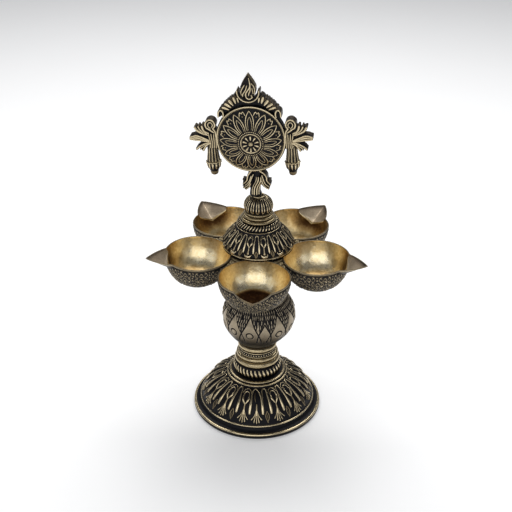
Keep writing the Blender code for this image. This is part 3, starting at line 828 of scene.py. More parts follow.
def bowl_points():
    """A bowl about its rim's centre, spout to +X: points, rub, and the faces' kinds by row and column."""
    wide, narrow, steps, edge_steps, inner_steps, lip_steps = 300, 96, 62, 12, 46, 10
    spout = np.linspace(-SPOUT_ROOT_ANGLE, SPOUT_ROOT_ANGLE, narrow, endpoint=False)
    rest = np.linspace(SPOUT_ROOT_ANGLE, math.tau - SPOUT_ROOT_ANGLE, wide, endpoint=False)
    turns = np.concatenate([spout, rest])
    edge_out, edge_in = spout_edge(0.0), spout_edge(BOWL_WALL)
    sections = []
    for turn in turns:
        angle = math.remainder(turn, math.tau)
        outside = bowl_side(angle, 0.0, edge_out, steps, edge_steps)
        inside = bowl_side(angle, BOWL_WALL, edge_in, inner_steps, lip_steps)
        thinner = np.clip((inside[:, 1] + 9.0) / 8.0, 0, 1) ** 2
        inside[:, 0] += (BOWL_WALL - RIM_WALL) * thinner
        out_end, in_end = outside[-1], inside[-1]
        over = [(out_end * (1 + math.cos(t)) + in_end * (1 - math.cos(t))) / 2
                + np.array([0.0, 0.4 * math.sin(t)]) for t in np.linspace(0, math.pi, 6)[1:-1]]
        sections.append(np.vstack([outside, over, inside[::-1]]))
    table = np.array(sections).transpose(1, 0, 2)  # rows, columns, (distance, height)
    count = len(table)
    outside_rows = steps + edge_steps
    junction = count - inner_steps
    mean = table[:outside_rows].mean(axis=1)[::-1]
    relief = Relief(np.column_stack([mean, np.zeros(outside_rows)]), 0, 720)
    for row, (number, place, size) in enumerate(CHASED_ROWS):
        for k in range(number):
            scroll(relief, 360.0 * (k + 0.5 * (row % 2)) / number, place, size, (-1) ** (k + row))
    degrees = np.append(relief.angles, 360.0)
    height = np.zeros((count, len(turns)))
    shine = np.zeros_like(height)
    for i in range(outside_rows):
        for canvas, source in ((height, relief.height), (shine, relief.tone)):
            line = source[outside_rows - 1 - i]
            canvas[i] = np.interp(np.degrees(turns) % 360, degrees, np.append(line, line[0]))
    outer = (np.arange(count) < outside_rows)[:, None]
    from_rim = np.concatenate([relief.along[::-1], np.zeros(count - outside_rows)])[:, None]
    band = outer & (from_rim < 3.4)
    groove = np.exp(-((from_rim - 3.1) / 0.35) ** 2) * outer
    lip = np.exp(-((from_rim - 0.4) / 0.5) ** 2) * outer
    away = np.abs(np.remainder(turns + math.pi, math.tau) - math.pi)[None, :]
    in_spout = away < SPOUT_ROOT_ANGLE
    # The trough's folded sheet ends in a raised edge over the bowl's wall.
    rows = np.arange(count)[:, None]
    sheet = np.exp(-((rows - junction + 0.5) / 0.9) ** 2) * in_spout * (rows >= outside_rows + 4)
    height = np.where(band, 0.0, height) * 0.8 - 0.35 * groove + 0.3 * lip + 0.45 * sheet
    slope = ways(table)
    shifted_table = table + np.stack([slope[:, :, 1], -slope[:, :, 0]], -1) * height[:, :, None]
    distance, level = shifted_table[:, :, 0], shifted_table[:, :, 1]
    points = np.stack([distance * np.cos(turns), distance * np.sin(turns), level], -1)
    smooth_base = np.clip((from_rim - CHASED_END) / 1.5, 0, 1) * 0.42
    outside_rub = 0.08 + 0.85 * shine * ~band + 0.4 * band + 0.4 * lip - 0.35 * groove + smooth_base
    # Darker inner wall towards the spout: oil stain with a painted dark reflection and shadow.
    stain = np.exp(-(away / 0.85) ** 2) * np.clip((distance - 16.0) / 6.0, 0, 1)
    # Darker inner wall near the rim on the side towards the hub: dirt with a painted shadow.
    dirt_and_shade = np.exp(-((away - 2.4) / 0.9) ** 2) * np.clip((distance - 24.0) / 5.0, 0, 1)
    inside_rub = 0.92 - 0.8 * stain - 0.3 * dirt_and_shade + 0.75 * sheet
    rub = np.where(outer, outside_rub, inside_rub)
    trough = (rows >= outside_rows) & (rows < junction - 1) & in_spout
    edge_line = np.exp(-((rows - outside_rows - 4) / 1.6) ** 2)
    rub = np.where(trough, 0.62 - 0.5 * edge_line + 0.4 * sheet, rub)
    rim = (rows >= outside_rows) & (rows < outside_rows + 4)
    rub = np.where(rim, 0.62, rub)
    kinds = np.zeros((count, len(turns)), int)
    kinds[outside_rows + 4:] = 1
    kinds[(rows >= outside_rows + 4) & (rows < junction - 1) & in_spout] = 2
    return points, rub, kinds


def make_bowls():
    points, rub, kinds = bowl_points()
    names = ("bowl_front", "bowl_right", "bowl_rear_right", "bowl_rear_left", "bowl_left")
    for i, name in enumerate(names):
        turn = -math.pi / 2 + math.tau * i / BOWL_COUNT
        cos, sin = math.cos(turn), math.sin(turn)
        x = points[:, :, 0] + BOWL_CIRCLE
        y = points[:, :, 1]
        placed = np.stack([x * cos - y * sin, x * sin + y * cos + AXIS_Y,
                           points[:, :, 2] + RIM_HEIGHT], -1)
        # Burnt oil and a painted dark reflection darken the bottom, most of it in the front bowl.
        oil_and_shade_pool = np.clip((OIL_AND_SHADE_RADIUS - np.hypot(points[:, :, 0], points[:, :, 1])) / 2.5, 0, 1) * (kinds > 0)
        tones = rub - (OIL_AND_SHADE_FRONT if name == "bowl_front" else OIL_AND_SHADE_OTHERS) * oil_and_shade_pool
        obj = skin("chased_" + name, shell(placed, tones, poles=(True, True)))
        fans = [0] * points.shape[1] + [1] * points.shape[1]
        faces = np.concatenate([kinds[:-1].ravel(), fans]).astype(np.int32)
        place_piece(obj, "bowl_ring", [name], "bowl_brass", chased, polished, spout_brass)
        obj.data.polygons.foreach_set("material_index", faces)


def lump(centre, sizes, seed):
    """A bead of braze with a run surface."""
    rng = np.random.default_rng(seed)
    phases = rng.uniform(0, math.tau, 6)
    tilt = np.linspace(0.12, math.pi - 0.12, 16)[:, None]
    turn = np.linspace(0, math.tau, 28, endpoint=False)[None, :]
    radius = 1 + 0.13 * np.sin(3 * turn + phases[0]) * np.sin(2 * tilt + phases[1])
    radius = radius + 0.1 * np.sin(5 * turn + phases[2]) * np.sin(3 * tilt + phases[3])
    x = centre[0] + sizes[0] * radius * np.sin(tilt) * np.cos(turn)
    y = centre[1] + sizes[1] * radius * np.sin(tilt) * np.sin(turn)
    z = centre[2] + sizes[2] * radius * np.cos(tilt) * np.ones_like(turn)
    return shell(np.stack([x, y, z], -1), np.full(radius.shape, 0.55), poles=(True, True))


def make_bowl_hub():
    """A dished disc with a round seat for each bowl, and braze between the bowls."""
    rows, _ = outline_rows([
        (PAINTED_SHADE_RUB, 1.5, [(ROD_BORE, 156.6), (28.4, 156.6)]),
        (0.5, 0.6, [(28.4, 156.6), (29.2, 156.2), (29.4, 155.4), (28.6, 152.0), (24.6, 146.0),
                    (19.6, 140.2)]),
        (PAINTED_SHADE_RUB, 1.5, [(19.6, 140.2), (ROD_BORE, 140.2)]),
        (PAINTED_SHADE_RUB, HIDDEN, [(ROD_BORE, 140.2), (ROD_BORE, 156.6)]),
    ])
    rows = rows[:-1]
    columns = 540
    angles = np.radians(np.arange(columns) * 360.0 / columns)
    radius = np.repeat(rows[:, :1], columns, axis=1)
    for i in range(BOWL_COUNT):
        away = np.abs((angles - math.tau * i / BOWL_COUNT + math.pi) % math.tau - math.pi)
        for j, level in enumerate(rows[:, 1]):
            depth = (level - RIM_HEIGHT) / (BOWL_DEPTH - SEAT_SINK)
            if abs(depth) >= 1:
                continue
            seat = (BOWL_RADIUS - SEAT_SINK) * math.sqrt(1 - depth * depth)
            inside = seat ** 2 - (BOWL_CIRCLE * np.sin(away)) ** 2
            near = (inside > 0) & (away < math.pi / 2)
            edge = BOWL_CIRCLE * np.cos(away) - np.sqrt(np.maximum(inside, 0))
            radius[j] = np.where(near, np.minimum(radius[j], np.maximum(edge, rows[0, 0])), radius[j])
    tones = np.repeat(rows[:, 2:], columns, axis=1)
    shells = [shell(round_points(radius, rows[:, 1:2]), tones, wrap_rows=True)]
    for i in range(BOWL_COUNT):
        turn = -math.pi / 2 + math.tau * (i + 0.5) / BOWL_COUNT
        for j, (distance, height, size) in enumerate(BRAZE_BEADS):
            centre = (distance * math.cos(turn), AXIS_Y + distance * math.sin(turn), height)
            shells.append(lump(centre, (size, size * 0.9, size * 0.75), i + 9 * j))
    obj = skin("cast_bowl_hub", *shells)
    age(obj, 0.5, 6)
    place_piece(obj, "bowl_ring", ["bowl_hub"], "turned_brass", turned_brass)


# Skirt, rings and knob.

SKIRT_PERIODS = 13
KNOB_TONGUES = 16


def skirt_ornament(relief):
    step = 360.0 / SKIRT_PERIODS
    hoop(relief, 0.75, 0.42)
    for k in range(SKIRT_PERIODS):
        centre = step * k
        hairpin(relief, centre, (3.9, 5.1), 2.4, 16.6, 0.46, 1.12)
        bud(relief, centre, 2.2, 15.0, 20.8, 0.55)
        between = centre + step / 2
        arch = mirrored([(-6.0, 5.4, 0.24), (-3.8, 3.4, 0.26)], (0, 2.7, 0.26))
        relief.stroke(shifted(between, arch), bright=0.8)
        knotted_loop(relief, between, 4.8, 4.2, 12.0, 0.4, 0.95)
        cup = [(0, 12.0, 0.42), (0, 15.0, 0.75), (0, 17.4, 1.35)]
        relief.stroke(shifted(between, cup), lift=0.9, bright=0.8)
        lip = mirrored([(-5.4, 18.0, 0.5), (-3.4, 19.3, 1.0)], (0, 19.7, 1.25))
        relief.stroke(shifted(between, lip), lift=1.1)


def knob_ornament(relief):
    tongue = mirrored([(-4.8, 0.6, 0.3), (-4.8, 4.0, 0.42), (-4.9, 8.0, 0.52), (-4.9, 11.6, 0.52),
                       (-2.6, 13.2, 0.46)])
    for k in range(KNOB_TONGUES):
        relief.stroke(shifted(360.0 * k / KNOB_TONGUES, tongue), lift=1.1)


def make_top():
    turned_piece("skirt_dome", bored(ROD_BORE, (16.8, 177.4), [
        (0.0, 0.26, [(16.8, 177.4), (17.8, 177.0), (18.5, 176.0)] + bow((18.9, 175.0), (28.6, 161.9), 0.6)),
        (0.0, 0.26, [(28.6, 161.9), (28.7, 160.4)]),
        (0.95, 0.26, [(28.2, 160.4), (28.9, 159.9), (28.8, 159.2), (28.1, 158.8)]),
        (0.0, 1.0, [(28.1, 158.8), (27.0, 158.0), (ROD_BORE, 158.0)]),
    ]), 900, "top", antique, "antique_brass", skirt_ornament, gain=0.3, rounds=8)

    turned_piece("upper_rope_ring", bored(0.0, (13.4, 182.1), [
        (0.0, 0.24, [(13.4, 182.1), (14.9, 181.6), (16.3, 180.1), (16.9, 178.6), (16.7, 177.7)]),
    ], (16.7, 177.7)), 900, "top", antique, "antique_brass", rope(40, 1.2, 4.6, -3.0, 0.62, 0.42), solid=True)

    for name, radius, low, high in (("neck_ring_large", 14.2, 182.4, 185.0),
                                    ("neck_ring_middle", 12.6, 185.3, 187.7),
                                    ("neck_ring_small", 11.3, 188.0, 190.1)):
        half = (high - low) / 2
        edge = radius - 1.8
        ring = [(0.55, 0.25, bead(radius, low + half, half, 1.8, 12))]
        turned_piece(name, bored(0.0, (edge, high), ring, (edge, low)), 420, "top", turned_brass,
                     "turned_brass", solid=True, gain=2.0)

    turned_piece("ribbed_knob", bored(FINIAL_BORE, (4.9, 202.0), [
        (0.0, 0.22, [(4.9, 202.0), (8.0, 200.7), (10.2, 198.2), (11.2, 195.0), (10.9, 192.2),
                     (9.9, 190.4)]),
        (PAINTED_SHADE_RUB, HIDDEN, [(9.9, 190.4), (0.02, 190.4)]),
        (PAINTED_SHADE_RUB, HIDDEN, [(0.02, 190.4), (0.02, 192.0), (FINIAL_BORE, 192.0)]),
    ]), 780, "top", antique, "antique_brass", knob_ornament, gain=0.3, rounds=8)

    turned_piece("finial_collar", bored(FINIAL_BORE, (4.6, 203.5), [
        (0.85, 0.2, bead(5.2, 202.9, 0.6, 0.6)),
    ], (4.6, 202.3)), 200, "collar", turned_brass, "turned_brass")


# Wheel finial. Its pieces are made in its own frame: across, depth (front is minus), up.

low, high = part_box("chakra_disc")
disc_centre = (low + high) / 2
finial_place = (Matrix.Translation(disc_centre) @ Matrix.Rotation(FINIAL_YAW, 4, "Z")
                @ Matrix.Rotation(-FINIAL_LEAN, 4, "Y"))


def stand_finial(obj):
    obj.data.transform(finial_place)


DISC_PETALS = 12
DISC_BEADS = 42
DISC_LOBES = 10
TASSEL_FLUTES = 12
DISC_SHIFT = (1.0, -0.9)
BOSS_DEPTH = 12.0
EDGE_WEAR = 0.34  # rub of a casting's outer edges
CREST_WEAR = 0.88  # rub of its ribs' crests


def disc_ornament(relief):
    """The relief's rows run outwards from the boss, and its way down is the radius."""
    relief.along = relief.radii.copy()

    def draw(points, lift=1.15, bright=1.0):
        relief.stroke(points, lift=lift, steps=5, bright=bright)

    step = 360.0 / DISC_PETALS
    for k in range(DISC_PETALS):
        a = step * k
        for side in (-1, 1):
            draw([(a + side * 10.8, 10.6, 0.36), (a + side * 12.0, 13.4, 0.46), (a + side * 11.0, 16.2, 0.5),
                  (a + side * 7.6, 19.6, 0.5), (a + side * 3.4, 22.1, 0.46), (a, 23.6, 0.38)])
            draw([(a + side * 5.6, 11.0, 0.3), (a + side * 6.0, 14.0, 0.38), (a + side * 4.4, 17.0, 0.38),
                  (a + side * 1.6, 19.2, 0.34), (a, 19.8, 0.3)], bright=0.9)
        middle = a + step / 2
        draw(shifted(middle, mirrored([(-6.2, 21.0, 0.4), (-3.2, 23.3, 0.5)], (0, 22.4, 0.42))))
        draw([(middle, 20.2, 0.45), (middle, 20.7, 0.45)], bright=0.8)
    for k in range(DISC_BEADS):
        a = 360.0 * k / DISC_BEADS
        draw([(a - 0.3, 9.4, 0.56), (a + 0.3, 9.4, 0.56)], 1.0)
    for k in range(DISC_LOBES):
        a = 360.0 * k / DISC_LOBES
        draw([(a, 3.2, 0.4), (a, 5.5, 0.95), (a, 5.8, 0.9)], 1.1)


def make_disc():
    half = FINIAL_HALF_DEPTH
    face = [
        (0.85, 0.26, [(0.35, 13.0), (1.2, 12.6), (2.0, 11.5)]),
        (0.0, 0.26, [(2.0, 11.5), (4.5, 11.1), (7.2, 10.9)]),
        (0.9, 0.24, [(7.2, 10.9), (7.7, 11.3), (8.2, 10.9)]),
        (0.0, 0.26, [(8.2, 10.9), (9.5, 10.6), (10.4, 10.2)]),
        (0.0, 0.28, bow((10.4, 10.2), (25.3, 3.8), 0.9)),
        (0.95, 0.24, [(25.3, 3.8), (25.9, half + 0.15), (26.4, half + 0.2), (26.9, half - 0.2)]),
        (0.02, 0.4, [(26.9, half - 0.2), (DISC_RADIUS, half - 1.4), (DISC_RADIUS, 0.0)]),
    ]
    rows, _ = outline_rows(face)
    relief = Relief(rows, 0, 780)
    disc_ornament(relief)
    radius, depth = raised(rows, relief.height)
    tones = rows[:, 2:] + relief.tone
    angles = np.radians(relief.angles)
    front = np.stack([radius * np.sin(angles), -depth, radius * np.cos(angles)], -1)
    back = np.stack([radius * np.sin(angles), depth, radius * np.cos(angles)], -1)
    # The boss was pressed a little to one side of the rim.
    for face, depth_way in ((front, -1.0), (back, 1.0)):
        proud = np.clip((face[:, :, 1] * depth_way - half) / (BOSS_DEPTH - half), 0, 1)
        face[:, :, 0] += DISC_SHIFT[0] * proud
        face[:, :, 2] += DISC_SHIFT[1] * proud
    obj = skin("cast_chakra_disc", shell(np.concatenate([front, back[-2::-1]]),
                                         np.concatenate([tones, tones[-2::-1]]), poles=(True, True)))
    age(obj, 0.25, 8)
    stand_finial(obj)
    place_piece(obj, "finial", ["chakra_disc"], "antique_brass", antique)


class Casting:
    """Closed shapes gathered in one mesh, then given one skin, as a casting has.

    A rib's crest shines, and what lies between ribs holds patina.
    """

    def __init__(self, name, side=1.0):
        self.name = name
        self.side = side
        self.verts = []
        self.faces = []
        self.crests = []

    def add(self, points, faces):
        base = sum(len(v) for v in self.verts)
        self.verts.append(np.asarray(points, float))
        self.faces.extend([tuple(base + i for i in face) for face in faces])

    def rib(self, path, depth=FINIAL_HALF_DEPTH, back=None, bright=1.0):
        """A strand along (across, up, half-width) through the thickness, with a rounded crest.

        It reaches depth towards the front and back towards the rear.
        """
        curve = smooth_path(path, steps=5)
        curve[:, 0] *= self.side
        around = 16
        back = depth if back is None else back
        self.crests.append((curve, depth, back, bright))
        way = ways(curve[:, :2])
        caps = []
        for (x, z, width), out in ((curve[0], -way[0]), (curve[-1], way[-1])):
            caps.append([(x + out[0] * width * math.sin(t), z + out[1] * width * math.sin(t),
                          width * max(math.cos(t), 0.15)) for t in (0.5, 1.0, 1.4)])
        line = np.vstack([caps[0][::-1], curve, caps[1]])
        way = np.vstack([np.repeat(way[:1], 3, 0), way, np.repeat(way[-1:], 3, 0)])
        turn = np.linspace(0, math.tau, around, endpoint=False) + math.pi / around
        rings = []
        for (x, z, width), (dx, dz) in zip(line, way):
            reach = np.where(np.sin(turn) < 0, depth, back)
            deep = np.sign(np.sin(turn)) * (reach - width * (1 - np.abs(np.sin(turn))))
            rings.append(np.stack([x - dz * width * np.cos(turn), deep, z + dx * width * np.cos(turn)], -1))
        count = len(rings)
        faces = [(i * around + j, i * around + (j + 1) % around, (i + 1) * around + (j + 1) % around,
                  (i + 1) * around + j) for i in range(count - 1) for j in range(around)]
        faces.append(tuple(range(around))[::-1])
        faces.append(tuple((count - 1) * around + j for j in range(around)))
        self.add(np.concatenate(rings), faces)

    def plate(self, cad_node, depth_share, shrink=0.97):
        """The CAD plate itself, thinner, as the ground behind the ribs."""
        mesh = frame["nodes"][cad_node].data
        upright = finial_place.inverted()
        points = np.array([upright @ v.co for v in mesh.vertices]) / MM
        points[:, 1] *= depth_share
        centre = points.mean(axis=0)
        points[:, ::2] = centre[::2] + (points[:, ::2] - centre[::2]) * shrink
        unique, index = np.unique(np.round(points, 4), axis=0, return_inverse=True)
        index = index.reshape(-1)
        faces = []
        for polygon in mesh.polygons:
            face = tuple(dict.fromkeys(int(index[i]) for i in polygon.vertices))
            if len(face) > 2:
                faces.append(face)
        self.add(unique, faces)

    def finish(self, level=0.05):
        mesh = bpy.data.meshes.new("cast_" + self.name)
        mesh.from_pydata([tuple(v * MM) for v in np.concatenate(self.verts)], [], self.faces)
        obj = linked("cast_" + self.name, mesh)
        remesh = obj.modifiers.new("casting", "REMESH")
        remesh.mode = "VOXEL"
        remesh.voxel_size = VOXEL * MM
        soften = obj.modifiers.new("soften", "SMOOTH")
        soften.factor = 0.5
        soften.iterations = 3
        graph = bpy.context.evaluated_depsgraph_get()
        cast = bpy.data.meshes.new_from_object(obj.evaluated_get(graph))
        obj.modifiers.clear()
        obj.data = cast
        cast.shade_smooth()
        across, deep, up = read(cast.vertices, "co").astype(float).T / MM
        shine = np.zeros(len(across))
        for curve, depth, back, bright in self.crests:
            reach = curve[:, 2].max()
            near = np.nonzero((across > curve[:, 0].min() - reach) & (across < curve[:, 0].max() + reach)
                              & (up > curve[:, 1].min() - reach) & (up < curve[:, 1].max() + reach))[0]
            best = np.zeros(len(near))
            for distance, width in segments(curve, across[near], up[near]):
                best = np.maximum(best, 1 - (distance / width) ** 2)
            full = np.where(deep[near] < 0, depth, back)
            level_in = np.clip((np.abs(deep[near]) - full + 1.3) / 0.8, 0, 1)
            shine[near] = np.maximum(shine[near], gloss(best) * level_in * bright)
        worn = EDGE_WEAR * (1 - np.abs(read(cast.vertices, "normal")[:, 1])) ** 2
        set_rub(cast, level + worn + CREST_WEAR * shine + 1.2 * hollows(obj, 12))
        stand_finial(obj)
        place_piece(obj, "finial", [self.name], "antique_brass", antique)


def ring_path(x, z, wide, tall, start, end, width, steps=9):
    return [(x + wide * math.cos(t), z + tall * math.sin(t), width)
            for t in np.radians(np.linspace(start, end, steps))]


def make_side_flames():
    for name, side in (("side_flame_left", -1.0), ("side_flame_right", 1.0)):
        cast = Casting(name, side)
        cast.plate(name, 0.6, 0.93)
        # The body runs behind the disc's rim and down into the tassel.
        cast.rib([(26.6, -6.2, 2.0), (26.8, 0.0, 1.8), (27.0, 6.0, 1.6)], 3.0, bright=0.0)
        cast.rib([(30.6, -7.6, 2.6), (29.8, -2.0, 2.6), (29.6, 4.0, 2.2)], 3.2, bright=0.0)
        cast.rib([(28.6, 5.6, 0.7), (30.6, 7.0, 0.75)]
                 + ring_path(31.1, 11.9, 3.7, 3.9, -75, 235, 0.8, 11)
                 + [(27.4, 6.4, 0.7), (27.0, 2.0, 0.6)], 4.6)
        cast.rib([(30.9, 8.6, 0.4)] + ring_path(31.0, 11.6, 1.8, 2.1, -60, 240, 0.5, 9), 4.3)
        for path in ([(32.8, 4.8, 0.7), (35.6, 6.2, 0.85), (37.0, 8.4, 1.05), (37.5, 10.4, 1.15)],
                     [(33.0, 3.4, 0.7), (37.4, 4.6, 0.9), (41.2, 6.8, 1.1), (43.0, 9.4, 1.15)],
                     [(34.0, 4.2, 0.45), (37.8, 6.4, 0.6), (39.6, 8.4, 0.75), (40.4, 10.2, 0.8)]):
            cast.rib(path, 4.4)
        for rise, width in ((2.2, 0.75), (0.45, 0.9), (-1.3, 0.75)):
            cast.rib([(32.8, -1.6 + rise * 0.3, 0.6), (36.8, -0.6 + rise * 0.65, width),
                      (42.2, 0.6 + rise, width * 1.05), (47.3, 0.6 + rise * 0.55, width * 0.9)], 4.6)
        for path in ([(31.8, -3.4, 0.6), (34.8, -5.0, 0.85), (36.8, -7.4, 0.95), (37.8, -9.2, 1.0)],
                     [(32.6, -2.6, 0.6), (37.0, -4.2, 0.85), (40.6, -6.2, 0.95), (42.8, -8.2, 1.05)],
                     [(32.4, -3.2, 0.4), (36.4, -5.2, 0.5), (39.2, -7.2, 0.55), (40.2, -8.8, 0.45)]):
            cast.rib(path, 4.3)
        for across, drift in ((27.4, -0.6), (28.9, -0.2), (30.4, 0.4), (31.8, 1.0)):
            cast.rib([(across, -7.0, 0.55), (across - 0.2, -3.0, 0.6), (across + 0.5 * drift, 1.0, 0.6),
                      (across + drift, 4.2, 0.4)], 4.4, bright=0.85)
        cast.finish()


def make_crown():
    flame = Casting("crown_flame")
    flame.plate("crown_flame", 0.82)
    flame.rib([(1.1, 49.0, 0.25), (1.7, 45.6, 0.5), (1.7, 42.6, 0.62), (0.0, 39.6, 0.6), (-1.8, 36.8, 0.6),
               (-1.4, 33.8, 0.6), (0.6, 32.5, 0.6), (2.9, 33.8, 0.6), (2.5, 35.4, 0.6)], 4.3, 4.0)
    flame.rib([(1.9, 42.0, 0.4), (1.6, 39.2, 0.5), (0.5, 36.6, 0.5), (0.5, 35.4, 0.3)], 4.1, 4.0)
    flame.rib([(-0.6, 43.0, 0.4), (-2.0, 39.4, 0.5), (-3.9, 36.6, 0.52), (-4.3, 34.8, 0.4)], 4.1, 4.0)
    flame.rib([(-2.6, 43.4, 0.5), (-4.4, 40.6, 0.5), (-5.5, 38.0, 0.45), (-5.0, 35.8, 0.35)], 4.0, 4.0)
    flame.rib([(2.8, 44.6, 0.35), (4.5, 42.6, 0.5), (5.2, 39.8, 0.5), (5.0, 36.6, 0.45)], 4.0, 4.0)
    flame.rib([(3.2, 41.2, 0.35), (3.6, 38.6, 0.45), (3.9, 36.8, 0.35)], 3.9, 4.0, bright=0.6)
    flame.finish(level=0.3)

    cup = Casting("crown_crescent")
    cup.plate("crown_crescent", 0.8)
    cup.rib(ring_path(0.0, CRESCENT_HEIGHT, 8.4, 8.4, 176, 364, 0.6, 17), 5.0, 4.8)
    cup.rib(ring_path(0.0, CRESCENT_HEIGHT, 9.6, 9.6, 205, 335, 0.9, 13), 3.4, bright=0.0)
    cup.finish()

    for name, side in (("crown_leaves_left", -1.0), ("crown_leaves_right", 1.0)):
        cast = Casting(name, side)
        cast.plate(name, 0.55, 0.95)
        # The ground closes in on the crescent, and the two halves meet under it.
        cast.rib([(-0.8, 27.6, 0.9), (4.4, 27.9, 1.3), (8.8, 30.2, 2.0)], 2.6, bright=0.0)
        cast.rib([(10.0, 36.0, 0.8), (10.2, 33.4, 1.4), (9.0, 31.2, 1.4)], 3.0, bright=0.0)
        lobes = ((8.3, 33.4, 7.7, 30.2, 0.6, 0.8), (11.2, 33.6, 9.9, 29.6, 0.9, 1.35),
                 (14.6, 31.2, 12.0, 27.9, 0.95, 1.5), (17.7, 28.6, 13.8, 26.1, 0.9, 1.4),
                 (20.0, 25.9, 15.4, 24.3, 0.7, 1.15))
        for tip_x, tip_z, root_x, root_z, thin, thick in lobes:
            middle = ((tip_x + root_x) / 2, (tip_z + root_z) / 2)
            cast.rib([(root_x, root_z, thin * 0.6), (*middle, thick), (tip_x, tip_z, thick * 0.95)], 4.7)
        for x, z, width in ((10.4, 35.0, 1.0), (13.2, 32.8, 1.1), (16.4, 30.2, 1.1), (19.2, 27.6, 1.1),
                            (21.4, 25.2, 1.1)):
            cast.rib([(x, z, width), (x - 0.9, z - 0.9, width)], 4.2, bright=0.45)
        cast.rib([(20.4, 18.2, 0.65), (20.0, 20.6, 0.7), (20.6, 22.8, 0.75), (22.2, 23.6, 0.75),
                  (23.8, 22.0, 0.75), (24.1, 18.6, 0.75)], 4.8)
        cast.finish()


def make_neck():
    cast = Casting("finial_neck")
    cast.rib([(0.6, -48.0, 4.6), (0.7, -45.6, 4.0), (1.1, -42.0, 3.5), (1.8, -37.0, 3.2), (2.6, -31.0, 4.6),
              (2.8, -27.0, 6.0)], 3.3, bright=0.0)
    cast.plate("finial_neck", 0.45)
    for shift, width, depth in ((0.0, 0.62, 4.7), (2.0, 0.6, 4.6), (3.6, 0.45, 3.9), (-1.7, 0.4, 3.8)):
        cast.rib([(shift + 0.1, -46.8, width), (shift + 0.4, -42.6, width), (shift + 1.5, -39.3, width),
                  (shift + 2.9, -37.0, width), (shift + 3.9, -34.6, width),
                  (shift + 4.1, -31.9, width * 0.7)], depth, 4.4)
    left = (
        [(-0.9, -26.6, 0.7), (-3.0, -28.8, 0.75), (-4.4, -31.4, 0.65), (-5.1, -34.6, 0.65),
         (-6.9, -36.8, 0.65), (-8.2, -37.3, 0.55)],
        [(0.2, -29.6, 0.5), (-1.4, -33.0, 0.55), (-3.0, -36.6, 0.6), (-4.5, -39.0, 0.65),
         (-6.8, -40.6, 0.65), (-8.2, -41.2, 0.55)],
        [(-1.6, -31.0, 0.45), (-2.9, -34.4, 0.5), (-4.7, -37.2, 0.5), (-6.6, -38.9, 0.45)],
        [(-2.4, -37.6, 0.5), (-3.8, -40.4, 0.6), (-6.2, -42.4, 0.6)])
    right = (
        [(5.6, -26.8, 0.7), (8.6, -29.0, 0.75), (10.4, -31.8, 0.65), (10.7, -34.8, 0.65),
         (12.2, -36.9, 0.65), (13.3, -38.4, 0.55)],
        [(7.0, -30.4, 0.5), (8.0, -34.0, 0.55), (9.2, -37.4, 0.6), (11.2, -39.4, 0.55), (12.4, -40.4, 0.5)],
        [(6.6, -35.0, 0.5), (7.8, -38.4, 0.6), (9.6, -40.7, 0.7), (11.7, -42.0, 0.6)])
    for path in left + right:
        cast.rib(path, 4.5, 4.3)
    for x, z in ((-8.0, -34.6), (-8.3, -39.6), (12.4, -35.6)):
        cast.rib([(x, z, 0.8), (x + 0.6, z - 0.1, 0.8)], 3.4, bright=0.4)
    cast.finish()


def make_tassels():
    rows, starts = outline_rows([
        (PAINTED_SHADE_RUB, 1.0, [(0.0, -5.6), (3.2, -5.6)]),
        (0.0, 0.24, [(3.2, -5.6), (3.7, -7.9), (3.9, -12.5), (4.7, -18.7)]),
        (0.95, 0.2, bead(5.9, -19.7, 0.6, 1.1)),
        (0.0, 0.24, [(4.8, -20.4), (5.0, -22.2), (4.4, -25.2), (3.2, -27.8)]),
        (0.6, 0.24, [(3.2, -27.8), (3.2, -28.8), (2.5, -30.6), (0.4, -31.7)]),
    ])
    relief = Relief(rows, starts[1], 260)
    for k in range(TASSEL_FLUTES):
        a = 360.0 * k / TASSEL_FLUTES
        relief.stroke([(a, 0.0, 0.6), (a, 7.0, 0.72), (a, 12.6, 0.8)], bright=0.85)
        relief.stroke([(a, 15.6, 0.8), (a, 17.6, 0.95), (a, 20.8, 0.5)], lift=1.1)
    for name, side in (("tassel_left", -1.0), ("tassel_right", 1.0)):
        points = round_points(*raised(rows, relief.height * 0.8))
        points[:, :, 1] -= AXIS_Y
        points[:, :, 0] += side * TASSEL_OFFSET
        obj = skin("cast_" + name, shell(points, rows[:, 2:] + relief.tone, poles=(True, True)))
        age(obj, 0.5, 6)
        stand_finial(obj)
        place_piece(obj, "finial", [name], "antique_brass", antique)


# Studio.

CAMERA_PLACE = Vector((0.0384, -0.7135, 0.5629))
CAMERA_TARGET = Vector((-0.0017, 0.00877, 0.1472))
CAMERA_ROLL = math.radians(0.414)
LENS = 71.34


def make_camera():
    camera = bpy.data.cameras.new("camera")
    camera.lens = LENS
    camera.sensor_width = 36.0
    camera.clip_start = 0.01
    obj = linked("camera", camera)
    forward = (CAMERA_TARGET - CAMERA_PLACE).normalized()
    right = forward.cross(Vector((0, 0, 1))).normalized()
    up = right.cross(forward)
    x = right * math.cos(CAMERA_ROLL) + up * math.sin(CAMERA_ROLL)
    y = up * math.cos(CAMERA_ROLL) - right * math.sin(CAMERA_ROLL)
    turn = Matrix((x, y, -forward)).transposed().to_4x4()
    obj.matrix_world = Matrix.Translation(CAMERA_PLACE) @ turn
    bpy.context.scene.camera = obj


def area_light(name, place, target, size, power):
    light = bpy.data.lights.new(name, "AREA")
    light.shape = "RECTANGLE"
    light.size, light.size_y = size
    light.energy = power
    obj = linked(name, light)
    obj.location = place
    obj.rotation_euler = (Vector(target) - Vector(place)).to_track_quat("-Z", "Y").to_euler()


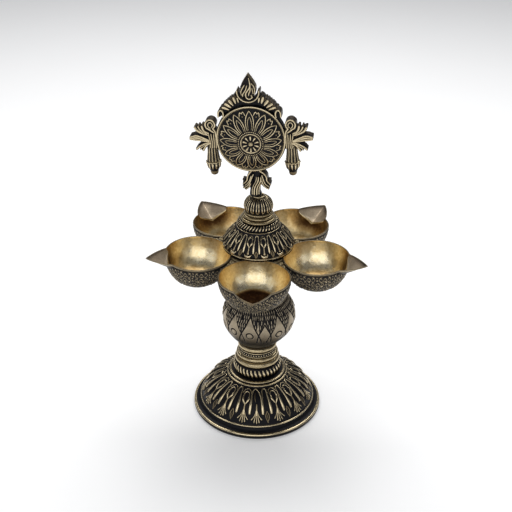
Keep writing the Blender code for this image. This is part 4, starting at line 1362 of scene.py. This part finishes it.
def make_studio():
    scene = bpy.context.scene
    scene.view_settings.view_transform = "Standard"
    world = bpy.data.worlds.new("studio")
    world.use_nodes = True
    sky = world.node_tree.nodes["Background"].inputs
    sky["Color"].default_value = (0.86, 0.90, 1.0, 1.0)
    sky["Strength"].default_value = 0.10
    scene.world = world

    floor = bpy.data.meshes.new("floor")
    far = 4.0
    floor.from_pydata([(-far, -far, 0), (far, -far, 0), (far, far, 0), (-far, far, 0)], [], [(0, 1, 2, 3)])
    floor_obj = linked("floor", floor)
    floor_obj.location.z = -0.0002
    paper, tree, shader = material("studio_paper")
    shade = ramp(tree, noise(tree, 6.0), ((0.0, (0.91, 0.91, 0.91)), (1.0, (0.94, 0.94, 0.94))))
    tree.links.new(shade, shader.inputs["Base Color"])
    shader.inputs["Roughness"].default_value = 0.95
    shader.inputs["Specular IOR Level"].default_value = 0.0
    shader.inputs["Emission Color"].default_value = (1.0, 1.0, 1.0, 1.0)
    shader.inputs["Emission Strength"].default_value = 0.18
    floor.materials.append(paper)
    floor_obj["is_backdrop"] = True

    middle = (0.0, 0.0, 0.15)
    area_light("top_box", (0.0, 0.55, 1.20), (0.0, 0.0, 0.12), (1.3, 0.9), 15.5)
    area_light("front_panel", (-0.10, -1.45, 1.10), middle, (2.1, 1.3), 12.0)
    area_light("left_panel", (-1.30, -0.55, 0.75), middle, (0.9, 1.1), 2.4)
    area_light("right_panel", (1.25, -0.75, 0.75), middle, (0.8, 1.0), 1.8)


make_camera()
make_studio()
make_base_foot()
make_stem()
make_bulb()
make_bowls()
make_bowl_hub()
make_top()
make_disc()
make_side_flames()
make_crown()
make_neck()
make_tassels()

# The studs, the rod and the washer keep their CAD meshes.
for hidden_node in ("foot_stud", "centre_rod", "finial_stud", "clamp_washer"):
    inner_piece = frame["nodes"][hidden_node]
    inner_piece.data.materials.clear()
    inner_piece.data.materials.append(turned_brass)
    set_rub(inner_piece.data, np.full(len(inner_piece.data.vertices), 0.6))

low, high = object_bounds()
